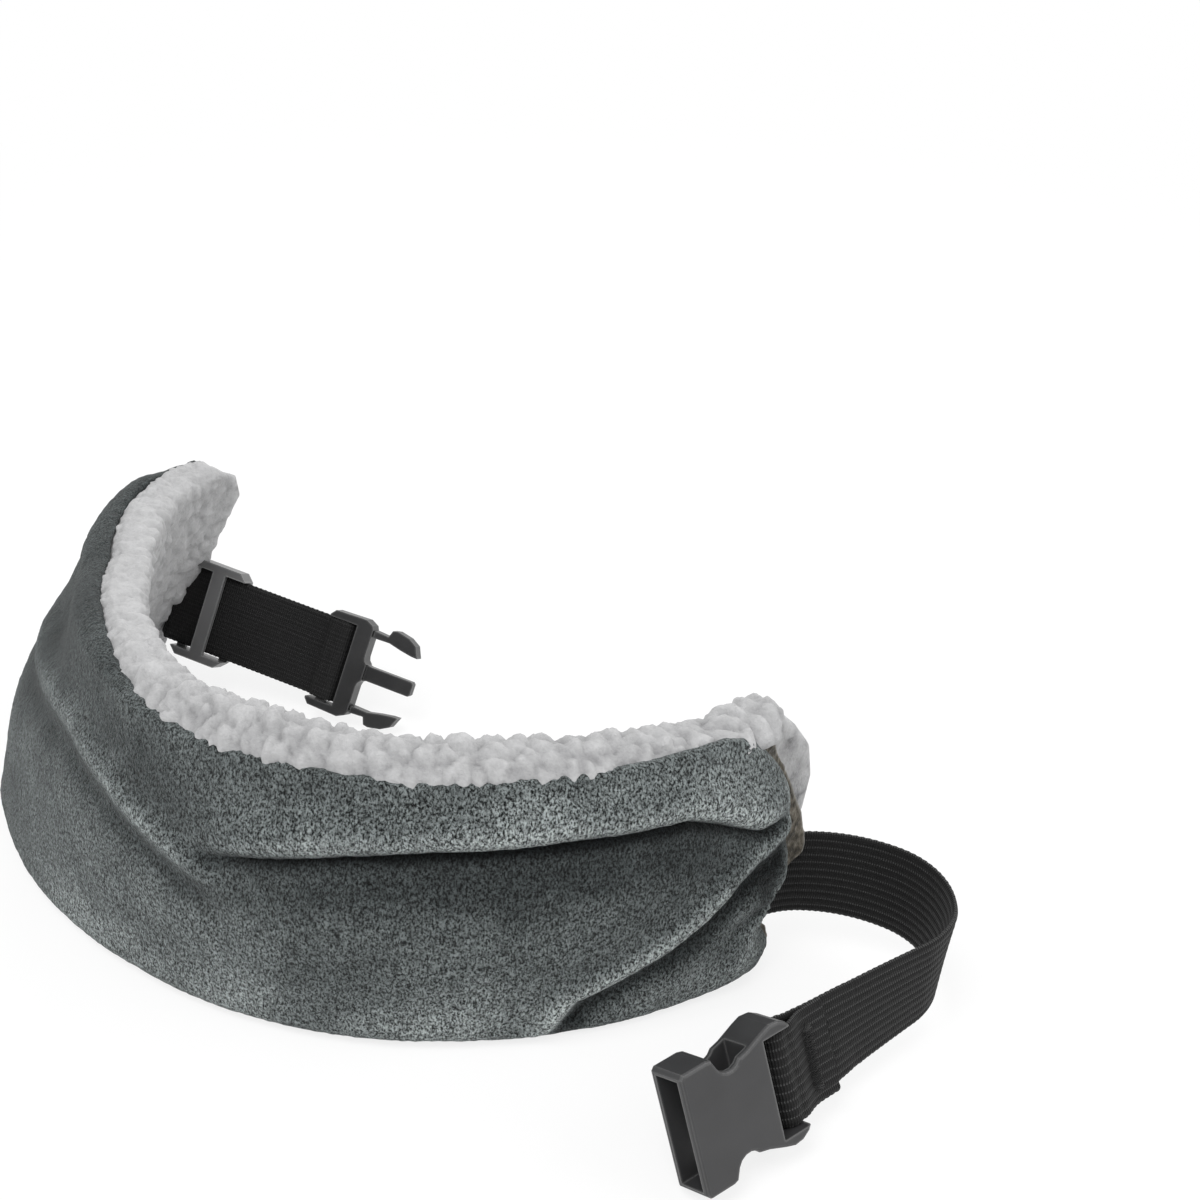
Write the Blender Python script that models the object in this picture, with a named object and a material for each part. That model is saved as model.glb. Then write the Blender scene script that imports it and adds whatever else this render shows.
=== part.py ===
"""A strap-on padded band: a plush and fleece pad that stands in a C on its long edge.

An elastic strap leaves its right end and carries the socket half of a side-release buckle.
A short webbing strap leaves its left end through a slider and carries the plug half.
Sizes are in millimetres and degrees, and MM turns them into Blender's metres.
"""

import math

import bmesh
import bpy
from mathutils import Matrix, Vector

MM = 0.001
GAP = 0.3  # between pieces that touch on the real object
HALF_TURN = math.pi

# The pad
PAD_LENGTH = 357.0  # along the middle of its outer face
PAD_HEIGHT = 80.0  # from the floor to the top seam, along the face
PAD_THICKNESS = 18.0
PAD_TURN = 176.0  # how far the whole length bends round
PAD_BENDING = (0.83, 0.82, 0.88, 0.66, 1.45)  # share of the bend at even steps, from the right end
PAD_LEAN = (0.0, 0.0, 6.5, 24.0, 23.0)  # how far the top leans in, at the same steps
PAD_BULGE = 3.5  # of the stuffed outer face
PAD_HEADING = 220.8  # plan direction of the outer face where it leaves the right end
PAD_START = (75.0, -11.0)  # plan place of the right end, before the whole is centred
COVER_WALL = 1.8
FLEECE_WALL = 4.5
ROLL_RISE = 6.0  # of the fleece above the top seam
ROLL_TUCK = 2.0  # from the top seam down to the middle of the roll
OUTER_FOOT_RADIUS = 6.0
INNER_FOOT_RADIUS = 5.5
SEAM_ACROSS = 0.55  # where the bottom seam lies, as a share of the thickness
SEAM_GAP = 0.5  # between the plush and the fleece
FLEECE_LOBE = (8.0, -12.0)  # how far the fleece's inner side reaches past the plush, right and left
CORE_CROWN = 9.0  # rise of the stuffing's rounded top
CORE_TOP_ROOM = 1.0  # between the stuffing and the level of the top seam
CORE_FOOT = 3.0  # cut off the stuffing's lower corners
END_ROOM = 20.0  # left free of stuffing at each end, for the sewn strap

# How far the pad bends at its middle, away from rest
PAD_CURL = 10.0
PAD_OPEN = 40.0
FLEX_CLEARANCE = 0.4
FLEX_AXIS_OUT = 6.5  # from the straight outer face to the axis, past the bulge and the lean

# The binding sewn over the right end
BINDING_WALL = 3.0
BINDING_FOOT_ROOM = 12.0
BINDING_TOP_ROOM = 10.0

# The elastic strap and its fold-back
ELASTIC_WIDTH = 25.0
ELASTIC_WALL = 1.5
ELASTIC_EXIT_HEIGHT = 27.0
ELASTIC_ACROSS = 6.0  # from the outer face to where it leaves the end
ELASTIC_EXIT_TURN = 0.0  # between the pad's end and the strap's first stretch
ELASTIC_BEND = ((14.0, 38.0), (23.0, 32.0), (41.0, 118.0), (47.5, -5.0))  # (length, turn) of each stretch
ELASTIC_DROP = 8.0  # from the exit to the buckle
ELASTIC_LEAN = (0.0, -3.0, -6.0, 8.0, 22.0)  # of its width, at even steps
ELASTIC_ROOT = 9.0  # sewn inside the end
FOLD_BACK = 16.5
FOLD_START = 24.0  # from the bar to where the strap settles beside its fold-back
LAYER_GAP = 0.4
HINGE_OUT = 4.0  # from the end of the pad to the line that the elastic bends on

# The webbing strap
WEBBING_WIDTH = 25.0
WEBBING_WALL = 1.2
WEBBING_EXIT_HEIGHT = 32.0
WEBBING_ACROSS = 6.0
WEBBING_ROOT = 4.0  # of the straight stretch that is sewn inside the end
WEBBING_ROOT_DEPTH = 12.9  # from the end to where the root begins to bend
WEBBING_ROOT_RADIUS = 5.0
WEBBING_CLEAR = 11.0  # from the root's bend to the line that the strap bends on
WEBBING_REACH = 55.5  # from that line to the bar of the plug
WEBBING_HEADING = -23.0
WEBBING_SLOPE = 9.3
WEBBING_LEAN = 28.0
WEBBING_TAIL = 49.5  # of the return layer, from the bar of the plug

# The side-release buckle
BUCKLE_BAR_RADIUS = 2.1  # to the corners of the bar that a strap goes round
BUCKLE_BAR_HALF = 1.45
BAR_CLEARANCE = 0.45
CHEEK_CLEARANCE = 0.6  # beside the strap
SOCKET_CHEEK = 2.9  # beside the strap
SOCKET_THICKNESS = 11.0
SOCKET_WALL = 1.7
SOCKET_REACH = 31.5  # from its bar to its mouth
SOCKET_SWING = 2.0  # how far it is turned on the strap as it lies
SOCKET_DEPTH = 21.0
SOCKET_SLOT = 5.2
SOCKET_SCALLOP = 5.2  # depth of the finger scallop in each side
SOCKET_LIP = 9.5  # of the flat side between the scallop and the mouth
SOCKET_SHOULDER = 6.5
PLUG_FRAME = 2.2  # wall beside the webbing
PLUG_THICKNESS = 5.6
PLUG_SLOT = 3.4
PLUG_BRIDGE = 5.4
PLUG_PRONG = 17.0
PRONG_WIDTH = 4.6
PRONG_THICKNESS = 3.0
ARM_REACH = 15.5
ARM_THICKNESS = 4.4
ARM_NECK = 1.7
ARM_BARB = 4.6  # width across the barb
ARM_GAP = 0.35
EDGE_BEVEL = 0.5

# The slider
SLIDER_LENGTH = 18.0
SLIDER_RAIL = 2.4
SLIDER_BAR_WALL = 1.6
SLIDER_BAR_WIDTH = 4.4
SLIDER_END_BAR = 3.0
SLIDER_START = 3.5  # from the line that the strap bends on
SLIDER_CLEARANCE = 0.35

# The bartack
TACK_LENGTH = 16.0
TACK_WIDTH = 2.2
TACK_TURNS = 12
THREAD_RADIUS = 0.3

STATIONS = 18  # along each half of the pad
FACE_STEPS = 6
ARC_STEPS = 4


# --- small helpers ---------------------------------------------------------------------------


def spread(values, share):
    """The value at a share from 0 to 1 along evenly spaced values."""
    place = min(max(share, 0.0), 1.0) * (len(values) - 1)
    index = min(int(place), len(values) - 2)
    return values[index] + (values[index + 1] - values[index]) * (place - index)


def ease(share):
    """A smooth step from 0 to 1."""
    share = min(max(share, 0.0), 1.0)
    return share * share * (3.0 - 2.0 * share)


def direction(degrees):
    """The plan direction at an angle from +X."""
    return Vector((math.cos(math.radians(degrees)), math.sin(math.radians(degrees)), 0.0))


def frame_of(origin, along, width):
    """A frame with X along, Z across the width and Y out of the face, in millimetres."""
    x = along.normalized()
    y = width.cross(x).normalized()
    z = x.cross(y)
    frame = Matrix((x, y, z)).transposed().to_4x4()
    frame.translation = origin
    return frame


def arc(centre, radius, start, end, steps=ARC_STEPS, squeeze=1.0):
    """Points of an arc in a section plane, from start to end degrees."""
    points = []
    for step in range(steps + 1):
        angle = math.radians(start + (end - start) * step / steps)
        points.append((centre[0] + radius * math.cos(angle),
                       centre[1] + radius * squeeze * math.sin(angle)))
    return points


def material(name, colour, roughness):
    """A plain Principled material."""
    made = bpy.data.materials.new(name)
    made.use_nodes = True
    shader = made.node_tree.nodes["Principled BSDF"]
    shader.inputs["Base Color"].default_value = (*colour, 1.0)
    shader.inputs["Roughness"].default_value = roughness
    made.diffuse_color = (*colour, 1.0)
    return made


def pivot(name, frame, parent=None):
    """An empty on a joint's axis, which its body's pieces are parented to."""
    empty = bpy.data.objects.new(name, None)
    empty.empty_display_size = 10 * MM
    bpy.context.scene.collection.objects.link(empty)
    empty["frame"] = [value for row in frame for value in row]
    placed = frame.copy()
    if parent is not None:
        empty.parent = parent
        placed = frame_in(parent).inverted() @ frame
    placed.translation = placed.translation * MM
    empty.matrix_local = placed
    return empty


def frame_in(empty):
    """The frame, in millimetres, that a pivot was made with."""
    numbers = list(empty["frame"])
    return Matrix([numbers[row * 4:row * 4 + 4] for row in range(4)])


def piece(name, mesh, finish, body):
    """An object for a mesh that is already in the frame of its body's pivot."""
    made = bpy.data.objects.new(name, mesh)
    bpy.context.scene.collection.objects.link(made)
    made.parent = body
    mesh.materials.append(finish)
    mesh.shade_smooth()
    mesh.set_sharp_from_angle(angle=math.radians(35))
    return made


def mesh_from(name, points, faces, body=None):
    """A mesh of points in millimetres, taken into the frame of a body's pivot when one is given."""
    into = frame_in(body).inverted() if body is not None else Matrix.Identity(4)
    mesh = bpy.data.meshes.new(name)
    mesh.from_pydata([(into @ Vector(point)) * MM for point in points], [], faces)
    shape = bmesh.new()
    shape.from_mesh(mesh)
    bmesh.ops.remove_doubles(shape, verts=shape.verts, dist=1e-6)
    bmesh.ops.recalc_face_normals(shape, faces=shape.faces)
    shape.to_mesh(mesh)
    shape.free()
    return mesh


def sheet_solid(name, front, back, finish, body):
    """A closed solid between two grids of points, each a list of rows."""
    rows = len(front)
    columns = len(front[0])
    points = [point for row in front for point in row] + [point for row in back for point in row]
    behind = rows * columns

    def at(row, column, side=0):
        return side * behind + row * columns + column

    faces = []
    for row in range(rows - 1):
        for column in range(columns - 1):
            quad = (at(row, column), at(row + 1, column), at(row + 1, column + 1), at(row, column + 1))
            faces.append(quad)
            faces.append(tuple(index + behind for index in reversed(quad)))
    for row in range(rows - 1):
        for column in (0, columns - 1):
            faces.append((at(row, column), at(row + 1, column),
                          at(row + 1, column, 1), at(row, column, 1)))
    for column in range(columns - 1):
        for row in (0, rows - 1):
            faces.append((at(row, column), at(row, column + 1),
                          at(row, column + 1, 1), at(row, column, 1)))
    return piece(name, mesh_from(name, points, faces, body), finish, body)


def loft_solid(name, rings, finish, body):
    """A closed solid through rings with as many points each, with flat ends."""
    count = len(rings[0])
    points = [point for ring in rings for point in ring]
    faces = []
    for ring in range(len(rings) - 1):
        for index in range(count):
            after = (index + 1) % count
            faces.append((ring * count + index, ring * count + after,
                          (ring + 1) * count + after, (ring + 1) * count + index))
    faces.append(tuple(range(count)))
    faces.append(tuple((len(rings) - 1) * count + index for index in range(count)))
    return piece(name, mesh_from(name, points, faces, body), finish, body)


def frame_solid(name, outer, inner, finish, body):
    """A plate with a hole: outer and inner each hold a front and a back ring."""
    count = len(outer[0])
    loops = [outer[0], inner[0], inner[1], outer[1]]
    points = [point for loop in loops for point in loop]
    faces = []
    for loop in range(4):
        following = (loop + 1) % 4
        for index in range(count):
            after = (index + 1) % count
            faces.append((loop * count + index, loop * count + after,
                          following * count + after, following * count + index))
    return piece(name, mesh_from(name, points, faces, body), finish, body)


def outline_solid(name, outline, low, high, finish, body):
    """An outline in a pivot's XZ plane, extruded along Y from low to high."""
    rings = [[(x, y, z) for x, z in outline] for y in (low, high)]
    count = len(outline)
    points = [point for ring in rings for point in ring]
    faces = [tuple(range(count)), tuple(count + index for index in range(count))]
    for index in range(count):
        after = (index + 1) % count
        faces.append((index, after, count + after, count + index))
    return piece(name, mesh_from(name, points, faces), finish, body)


def cut_box(target, low, high):
    """Cuts a box, in the frame of the target's body, out of the target."""
    name = f"{target.name}_cutter_{len(target.modifiers)}"
    corners = [(x, y, z) for x in (low[0], high[0]) for y in (low[1], high[1]) for z in (low[2], high[2])]
    faces = [(0, 1, 3, 2), (4, 6, 7, 5), (0, 4, 5, 1), (2, 3, 7, 6), (0, 2, 6, 4), (1, 5, 7, 3)]
    cutter = bpy.data.objects.new(name, mesh_from(name, corners, faces))
    bpy.context.scene.collection.objects.link(cutter)
    cutter.parent = target.parent
    cutter.hide_render = True
    cutter.display_type = "WIRE"
    cut = target.modifiers.new(name, "BOOLEAN")
    cut.operation = "DIFFERENCE"
    cut.solver = "EXACT"
    cut.object = cutter


# --- the shape of the pad --------------------------------------------------------------------


def walk(start, heading, bends, step=1.0):
    """Plan points and headings along a path whose bend per millimetre is bends(distance)."""
    place = Vector((start[0], start[1], 0.0))
    stations = [(place.copy(), heading)]
    length, bend_at = bends
    steps = int(round(length / step))
    size = length / steps
    for index in range(steps):
        turned = heading - bend_at((index + 0.5) * size) * size
        place = place + direction((heading + turned) / 2) * size
        heading = turned
        stations.append((place.copy(), heading))
    return stations


def pad_bend(distance):
    """Degrees of bend per millimetre at a distance along the pad."""
    shares = PAD_BENDING
    mean = sum((shares[index] + shares[index + 1]) / 2 for index in range(len(shares) - 1))
    mean /= len(shares) - 1
    return PAD_TURN / PAD_LENGTH * spread(shares, distance / PAD_LENGTH) / mean


PAD_LINE = walk(PAD_START, PAD_HEADING, (PAD_LENGTH, pad_bend))


def pad_station(share):
    """The middle of the outer face, its heading and its outward direction, at a share of the length."""
    place = share * (len(PAD_LINE) - 1)
    index = min(max(int(math.floor(place)), 0), len(PAD_LINE) - 2)
    (low, low_heading), (high, high_heading) = PAD_LINE[index], PAD_LINE[index + 1]
    part = place - index
    heading = low_heading + (high_heading - low_heading) * min(max(part, 0.0), 1.0)
    return low.lerp(high, part), heading, direction(heading + 90)


def pad_point(share, across, height):
    """A point of the pad: across is inward from the outer face, height is along it from the floor."""
    middle, _, out = pad_station(share)
    lean = math.radians(spread(PAD_LEAN, share))
    sideways = (PAD_HEIGHT / 2 - height) * math.sin(lean) - across
    return middle + out * sideways + Vector((0.0, 0.0, height * math.cos(lean)))


def bulge(height):
    """How far the stuffed face stands out at a height."""
    share = (height - OUTER_FOOT_RADIUS) / (PAD_HEIGHT - OUTER_FOOT_RADIUS)
    return PAD_BULGE * math.sin(HALF_TURN * min(max(share, 0.0), 1.0))


def cover_outline():
    """The plush's outer line in section, from the bottom seam round to the top seam."""
    foot = OUTER_FOOT_RADIUS
    line = [(PAD_THICKNESS * SEAM_ACROSS, 0.0)]
    line += arc((foot, foot), foot, 270, 180)
    for step in range(1, FACE_STEPS + 1):
        height = foot + (PAD_HEIGHT - foot) * step / FACE_STEPS
        line.append((-bulge(height), height))
    return line


def fleece_outline():
    """The fleece's outer line in section, from the top seam over the roll to the bottom seam."""
    half = PAD_THICKNESS / 2
    foot = INNER_FOOT_RADIUS
    roll_centre = PAD_HEIGHT - ROLL_TUCK
    rise = (ROLL_RISE + ROLL_TUCK) / half
    start = 180 - math.degrees(math.asin((ROLL_TUCK + SEAM_GAP) / (ROLL_RISE + ROLL_TUCK)))
    line = arc((half, roll_centre), half, start, 0, 2 * ARC_STEPS, rise)
    for step in range(1, FACE_STEPS):
        height = roll_centre + (foot - roll_centre) * step / FACE_STEPS
        line.append((PAD_THICKNESS, height))
    line += arc((PAD_THICKNESS - foot, foot), foot, 0, -90)
    line.append((PAD_THICKNESS * SEAM_ACROSS + SEAM_GAP, 0.0))
    return line


def inset(line, wall):
    """A section line moved inward by a wall's thickness, towards its right-hand side."""
    moved = []
    for index, (across, height) in enumerate(line):
        before = line[max(index - 1, 0)]
        after = line[min(index + 1, len(line) - 1)]
        run = math.hypot(after[0] - before[0], after[1] - before[1])
        step = ((after[1] - before[1]) / run, -(after[0] - before[0]) / run)
        moved.append((across + step[0] * wall, height + step[1] * wall))
    return moved


def core_outline():
    """The stuffing's line in section, clear of the covers all round."""
    low_across = COVER_WALL + GAP + 0.1
    high_across = PAD_THICKNESS - FLEECE_WALL - GAP
    half = (high_across - low_across) / 2
    middle = (high_across + low_across) / 2
    foot = CORE_FOOT
    low = FLEECE_WALL + GAP + 0.1
    crown = CORE_CROWN
    line = [(high_across - foot, low), (low_across + foot, low), (low_across, low + foot)]
    line += arc((middle, PAD_HEIGHT - CORE_TOP_ROOM - crown), half, 180, 0, 2 * ARC_STEPS, crown / half)
    line.append((high_across, low + foot))
    return line


MIDDLE = 0.5  # share of the length at which the pad bends


def flex_room(across, height):
    """Half of the gap at the middle that lets the pad curl, measured along its outer face."""
    lean = math.radians(spread(PAD_LEAN, MIDDLE))
    inward = across - (PAD_HEIGHT / 2 - height) * math.sin(lean)
    shorter = 1.0 - inward * math.radians(pad_bend(MIDDLE * PAD_LENGTH))
    opening = max(FLEX_AXIS_OUT + inward, 0.0) * math.tan(math.radians(PAD_CURL) / 2)
    return (FLEX_CLEARANCE / 2 + opening) / shorter


def half_rows(line, side, end_room):
    """Rows of pad points along one half: side is 0 for the right half and 1 for the left."""
    rows = []
    for station in range(STATIONS + 1):
        share = station / STATIONS
        row = []
        for across, height in line:
            room = flex_room(across, height) / PAD_LENGTH
            start = end_room(across, height) / PAD_LENGTH
            if side == 0:
                low, high = start, MIDDLE - room
            else:
                low, high = MIDDLE + room, 1.0 - start
            row.append(pad_point(low + (high - low) * share, across, height))
        rows.append(row)
    return rows


def plush_end(across, height):
    """The plush ends flush with the pad."""
    return 0.0


def fleece_end(side):
    """The fleece's inner side runs past the plush, or stops short of it, by that end's lobe."""
    foot = 1.3 * INNER_FOOT_RADIUS
    return lambda across, height: -FLEECE_LOBE[side] * ease(across / PAD_THICKNESS) * ease(height / foot)


def core_end(across, height):
    """The stuffing stops short, behind the sewn strap."""
    return END_ROOM


def make_pad(side, body, finishes):
    """The plush, the fleece and the stuffing of one half."""
    label = ("right", "left")[side]
    cover = cover_outline()
    fleece = fleece_outline()
    for name, line, wall, end, finish in (
        ("velvet_cover", cover, COVER_WALL, plush_end, finishes["velvet"]),
        ("sherpa_lining", fleece, FLEECE_WALL, fleece_end(side), finishes["sherpa"]),
    ):
        front = half_rows(line, side, end)
        inner = inset(line, wall)
        if line is fleece:
            inner[0] = (line[0][0] + wall * 0.8, line[0][1])  # a level cut above the top seam
        back = half_rows(inner, side, end)
        sheet_solid(f"{name}_{label}", front, back, finish, body)
    core = half_rows(core_outline(), side, core_end)
    loft_solid(f"padding_core_{label}", core, finishes["padding"], body)


def on_pad_end(side, out, across, height):
    """A point beside an end of the pad, in that end's own straight frame: out is the distance beyond it."""
    heading = pad_station(side)[1] + (180 if side == 0 else 0)
    return pad_point(side, across, height) + direction(heading) * out


# --- bindings --------------------------------------------------------------------------------


def round_the_clock(half_across, half_height, count=16, power=0.35):
    """Points of a rounded rectangle round its centre."""
    points = []
    for index in range(count):
        angle = 2 * HALF_TURN * (index + 0.5) / count
        across, height = math.cos(angle), math.sin(angle)
        points.append((math.copysign(abs(across) ** power, across) * half_across,
                       math.copysign(abs(height) ** power, height) * half_height))
    return points


def make_binding(finish, body):
    """The plush strip that closes the right end, with a slit that the elastic comes out of."""
    low_across = COVER_WALL + GAP + 0.1
    high_across = PAD_THICKNESS - FLEECE_WALL - GAP - 0.2
    middle = (low_across + high_across) / 2
    low, high = BINDING_FOOT_ROOM, PAD_HEIGHT - BINDING_TOP_ROOM
    centre = (low + high) / 2
    outer = round_the_clock((high_across - low_across) / 2, (high - low) / 2)
    slit = round_the_clock(ELASTIC_WALL / 2 + 0.6, ELASTIC_WIDTH / 2 + 1.0, power=0.15)
    rings = {"outer": [], "inner": []}
    for out in (-BINDING_WALL, 0.0):
        rings["outer"].append([on_pad_end(0, out, middle + a, centre + h) for a, h in outer])
        rings["inner"].append([on_pad_end(0, out, ELASTIC_ACROSS + a, ELASTIC_EXIT_HEIGHT + h)
                               for a, h in slit])
    frame_solid("end_binding", rings["outer"], rings["inner"], finish, body)


# --- straps ----------------------------------------------------------------------------------


def ribbon(name, centres, widths, width, wall, finish, body):
    """A flat strap through centre points, with its width direction at each."""
    fronts, backs = [], []
    for index, centre in enumerate(centres):
        before = centres[max(index - 1, 0)]
        after = centres[min(index + 1, len(centres) - 1)]
        along = (after - before).normalized()
        across = (widths[index] - along * widths[index].dot(along)).normalized()
        face = across.cross(along)
        for rows, side in ((fronts, 0.5), (backs, -0.5)):
            middle = centre + face * wall * side
            rows.append([middle - across * width / 2, middle + across * width / 2])
    return sheet_solid(name, fronts, backs, finish, body)


def elastic_bend(distance):
    """Degrees of bend per millimetre along the elastic strap, eased between its stretches."""
    reached = 0.0
    for length, turn in ELASTIC_BEND:
        reached += length
        if distance <= reached:
            return turn / length
    return 0.0


def elastic_path():
    """Centres and width directions of the elastic strap, from the end of the pad to the buckle's bar."""
    total = sum(length for length, _ in ELASTIC_BEND)
    start = on_pad_end(0, 0.0, ELASTIC_ACROSS, ELASTIC_EXIT_HEIGHT)
    heading = pad_station(0.0)[1] + 180 - ELASTIC_EXIT_TURN
    plan = walk((start.x, start.y), heading, (total, elastic_bend), 2.0)
    centres, widths = [], []
    for index, (place, facing) in enumerate(plan):
        share = index / (len(plan) - 1)
        height = ELASTIC_EXIT_HEIGHT - ELASTIC_DROP * ease(share)
        lean = math.radians(spread(ELASTIC_LEAN, share))
        side = direction(facing - 90)
        centres.append(Vector((place.x, place.y, height)))
        widths.append(Vector((0, 0, math.cos(lean))) + side * math.sin(lean))
    return centres, widths


def bar_loop(wall, layer, settle, steps=8):
    """A strap's line round a bar at the origin, in the XY plane: in below, round, and back above."""
    radius = BUCKLE_BAR_RADIUS + BAR_CLEARANCE + wall / 2
    line = [(-settle, -layer), (-1.2 * radius, -0.8 * radius)]
    line += arc((0.0, 0.0), radius, -120, 120, steps)
    line += [(-1.2 * radius, 0.8 * radius), (-settle, layer)]
    return line


def make_elastic(bodies, finish, thread):
    """The sewn root, the free run and the end that folds back round the socket's bar."""
    centres, widths = elastic_path()
    room = strap_room(ELASTIC_WALL)
    along = (centres[1] - centres[0]).normalized()
    root = [on_pad_end(0, -ELASTIC_ROOT, ELASTIC_ACROSS, ELASTIC_EXIT_HEIGHT), centres[0],
            centres[0] + along * (HINGE_OUT - room)]
    upright = [Vector((0.0, 0.0, 1.0))] * 3
    ribbon("elastic_root_tab", root, upright, ELASTIC_WIDTH, ELASTIC_WALL, finish, bodies["pad_right"])

    fold = elastic_fold_index(centres)
    through = (centres[fold + 1] - centres[fold - 1]).normalized()
    first = int(HINGE_OUT / (centres[1] - centres[0]).length) + 2
    run = [centres[0] + along * (HINGE_OUT + room)] + centres[first:fold] + [centres[fold] - through * room]
    run_widths = [widths[0]] + widths[first:fold] + [widths[fold]]
    ribbon("elastic_strap", run, run_widths, ELASTIC_WIDTH, ELASTIC_WALL, finish, bodies["long_strap"])

    bar = strap_end_frame(centres, widths)
    layer = (ELASTIC_WALL + LAYER_GAP) / 2
    loop = bar_loop(ELASTIC_WALL, layer, 9.0)
    far = -bar.col[1].to_3d() * layer
    last = len(centres) - 1 - int(FOLD_START / (centres[1] - centres[0]).length)
    end = [centres[fold] + through * room]
    end_widths = [widths[fold]]
    for index in range(fold + 1, last):
        end.append(centres[index] + far * ease((index - fold) / (last - fold)))
        end_widths.append(widths[index])
    for x, y in loop + [(-FOLD_BACK, layer)]:
        end.append(bar @ Vector((x, y, 0.0)))
        end_widths.append(bar.col[2].to_3d())
    ribbon("elastic_fold_back", end, end_widths, ELASTIC_WIDTH, ELASTIC_WALL, finish, bodies["strap_end"])
    make_bartack(bar, layer + ELASTIC_WALL / 2, thread, bodies["strap_end"])


def strap_end_frame(centres, widths):
    """The frame of the elastic's last straight stretch, at the bar that it goes round."""
    return frame_of(centres[-1], centres[-1] - centres[-3], widths[-1])


def strap_room(wall):
    """Half the gap that lets a strap bend through a wide angle without touching itself."""
    return wall * 0.3 + 0.02


def elastic_fold_index(centres):
    """The station in the middle of the bend, where the strap's two stretches meet."""
    spacing = (centres[1] - centres[0]).length
    lengths = [length for length, _ in ELASTIC_BEND]
    return int(round((lengths[0] + lengths[1] + lengths[2] / 2) / spacing))


def make_bartack(socket, face, finish, body):
    """A zigzag of thread that holds the fold-back down."""
    curve = bpy.data.curves.new("fold_bartack", "CURVE")
    curve.dimensions = "3D"
    curve.bevel_depth = THREAD_RADIUS * MM
    curve.bevel_resolution = 2
    curve.use_fill_caps = True
    spline = curve.splines.new("POLY")
    spline.points.add(2 * TACK_TURNS)
    out = face + THREAD_RADIUS + GAP
    inward = frame_in(body).inverted() @ socket
    for index in range(2 * TACK_TURNS + 1):
        along = -FOLD_BACK + 6.0 + TACK_WIDTH * (index % 2)
        width = -TACK_LENGTH / 2 + TACK_LENGTH * index / (2 * TACK_TURNS)
        place = (inward @ Vector((along, out, width))) * MM
        spline.points[index].co = (*place, 1.0)
    made = bpy.data.objects.new("fold_bartack", curve)
    bpy.context.scene.collection.objects.link(made)
    made.parent = body
    curve.materials.append(finish)


def webbing_root():
    """The webbing's centres inside the left end: a straight root, then a bend towards its free run."""
    turn = pad_station(1.0)[1] - WEBBING_HEADING
    places = [(-WEBBING_ROOT_DEPTH - WEBBING_ROOT, WEBBING_ACROSS)]
    for step in range(ARC_STEPS + 1):
        angle = math.radians(turn * step / ARC_STEPS)
        places.append((-WEBBING_ROOT_DEPTH + WEBBING_ROOT_RADIUS * math.sin(angle),
                       WEBBING_ACROSS + WEBBING_ROOT_RADIUS * (1 - math.cos(angle))))
    return [on_pad_end(1, out, across, WEBBING_EXIT_HEIGHT) for out, across in places]


def webbing_frame():
    """The frame of the webbing's free run: on the line that it bends on, X along it, Z across it."""
    upright = Vector((0.0, 0.0, 1.0))
    slope = math.radians(WEBBING_SLOPE)
    lean = math.radians(WEBBING_LEAN)
    reach = direction(WEBBING_HEADING) * math.cos(slope) - upright * math.sin(slope)
    width = upright * math.cos(lean) + direction(WEBBING_HEADING + 90) * math.sin(lean)
    return frame_of(webbing_root()[-1] + reach * WEBBING_CLEAR, reach, width)


def make_webbing(bodies, finish):
    """The sewn root and the doubled webbing that passes through the slider and round the plug's bar."""
    strap = frame_in(bodies["short_strap"])
    width = strap.col[2].to_3d()
    room = strap_room(WEBBING_WALL)
    root = webbing_root()
    sewn = (on_pad_end(1, 0.0, 0.0, PAD_HEIGHT) - on_pad_end(1, 0.0, 0.0, 0.0)).normalized()
    widths = [sewn] * len(root)
    for out, twist in ((WEBBING_CLEAR * 0.6, 0.15), (room, 1.0)):
        root.append(strap @ Vector((-out, 0.0, 0.0)))
        widths.append(sewn.lerp(width, twist))
    ribbon("webbing_root_tab", root, widths, WEBBING_WIDTH, WEBBING_WALL, finish, bodies["pad_left"])

    layer = (WEBBING_WALL + LAYER_GAP) / 2
    loop = bar_loop(WEBBING_WALL, layer, 8.0)
    line = [(room - WEBBING_REACH, 0.0), (room + 3.0 - WEBBING_REACH, -layer)] + loop
    line.append((-WEBBING_TAIL, layer))
    centres = [strap @ Vector((x + WEBBING_REACH, y, 0.0)) for x, y in line]
    ribbon("webbing_strap", centres, [width] * len(centres), WEBBING_WIDTH, WEBBING_WALL, finish,
           bodies["short_strap"])


# --- the buckle and the slider ---------------------------------------------------------------


def socket_width():
    """The socket's full width: the elastic, its clearance and a cheek on each side."""
    return ELASTIC_WIDTH + 2 * CHEEK_CLEARANCE + 2 * SOCKET_CHEEK


def socket_outline():
    """The socket's side-on outline, from its strap end to its mouth and back, in X and Z."""
    half = socket_width() / 2
    depth = SOCKET_SCALLOP
    waist = half - depth
    shoulder = SOCKET_SHOULDER
    scallop_end = SOCKET_REACH - SOCKET_LIP
    centre_x = scallop_end - depth * 0.9
    upper = []
    upper += arc((shoulder - 3.4, half - shoulder), shoulder, 180, 60, 5)
    upper += [(centre_x - depth * 1.15, waist + depth * 0.45)]
    upper += arc((centre_x, waist + depth * 0.75), depth * 0.75, 215, 330, 5)
    upper += [(scallop_end, half - 0.4), (scallop_end + 1.4, half)]
    upper += [(SOCKET_REACH - 1.0, half), (SOCKET_REACH, half - 1.0)]
    lower = [(x, -z) for x, z in reversed(upper)]
    return upper + lower


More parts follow.
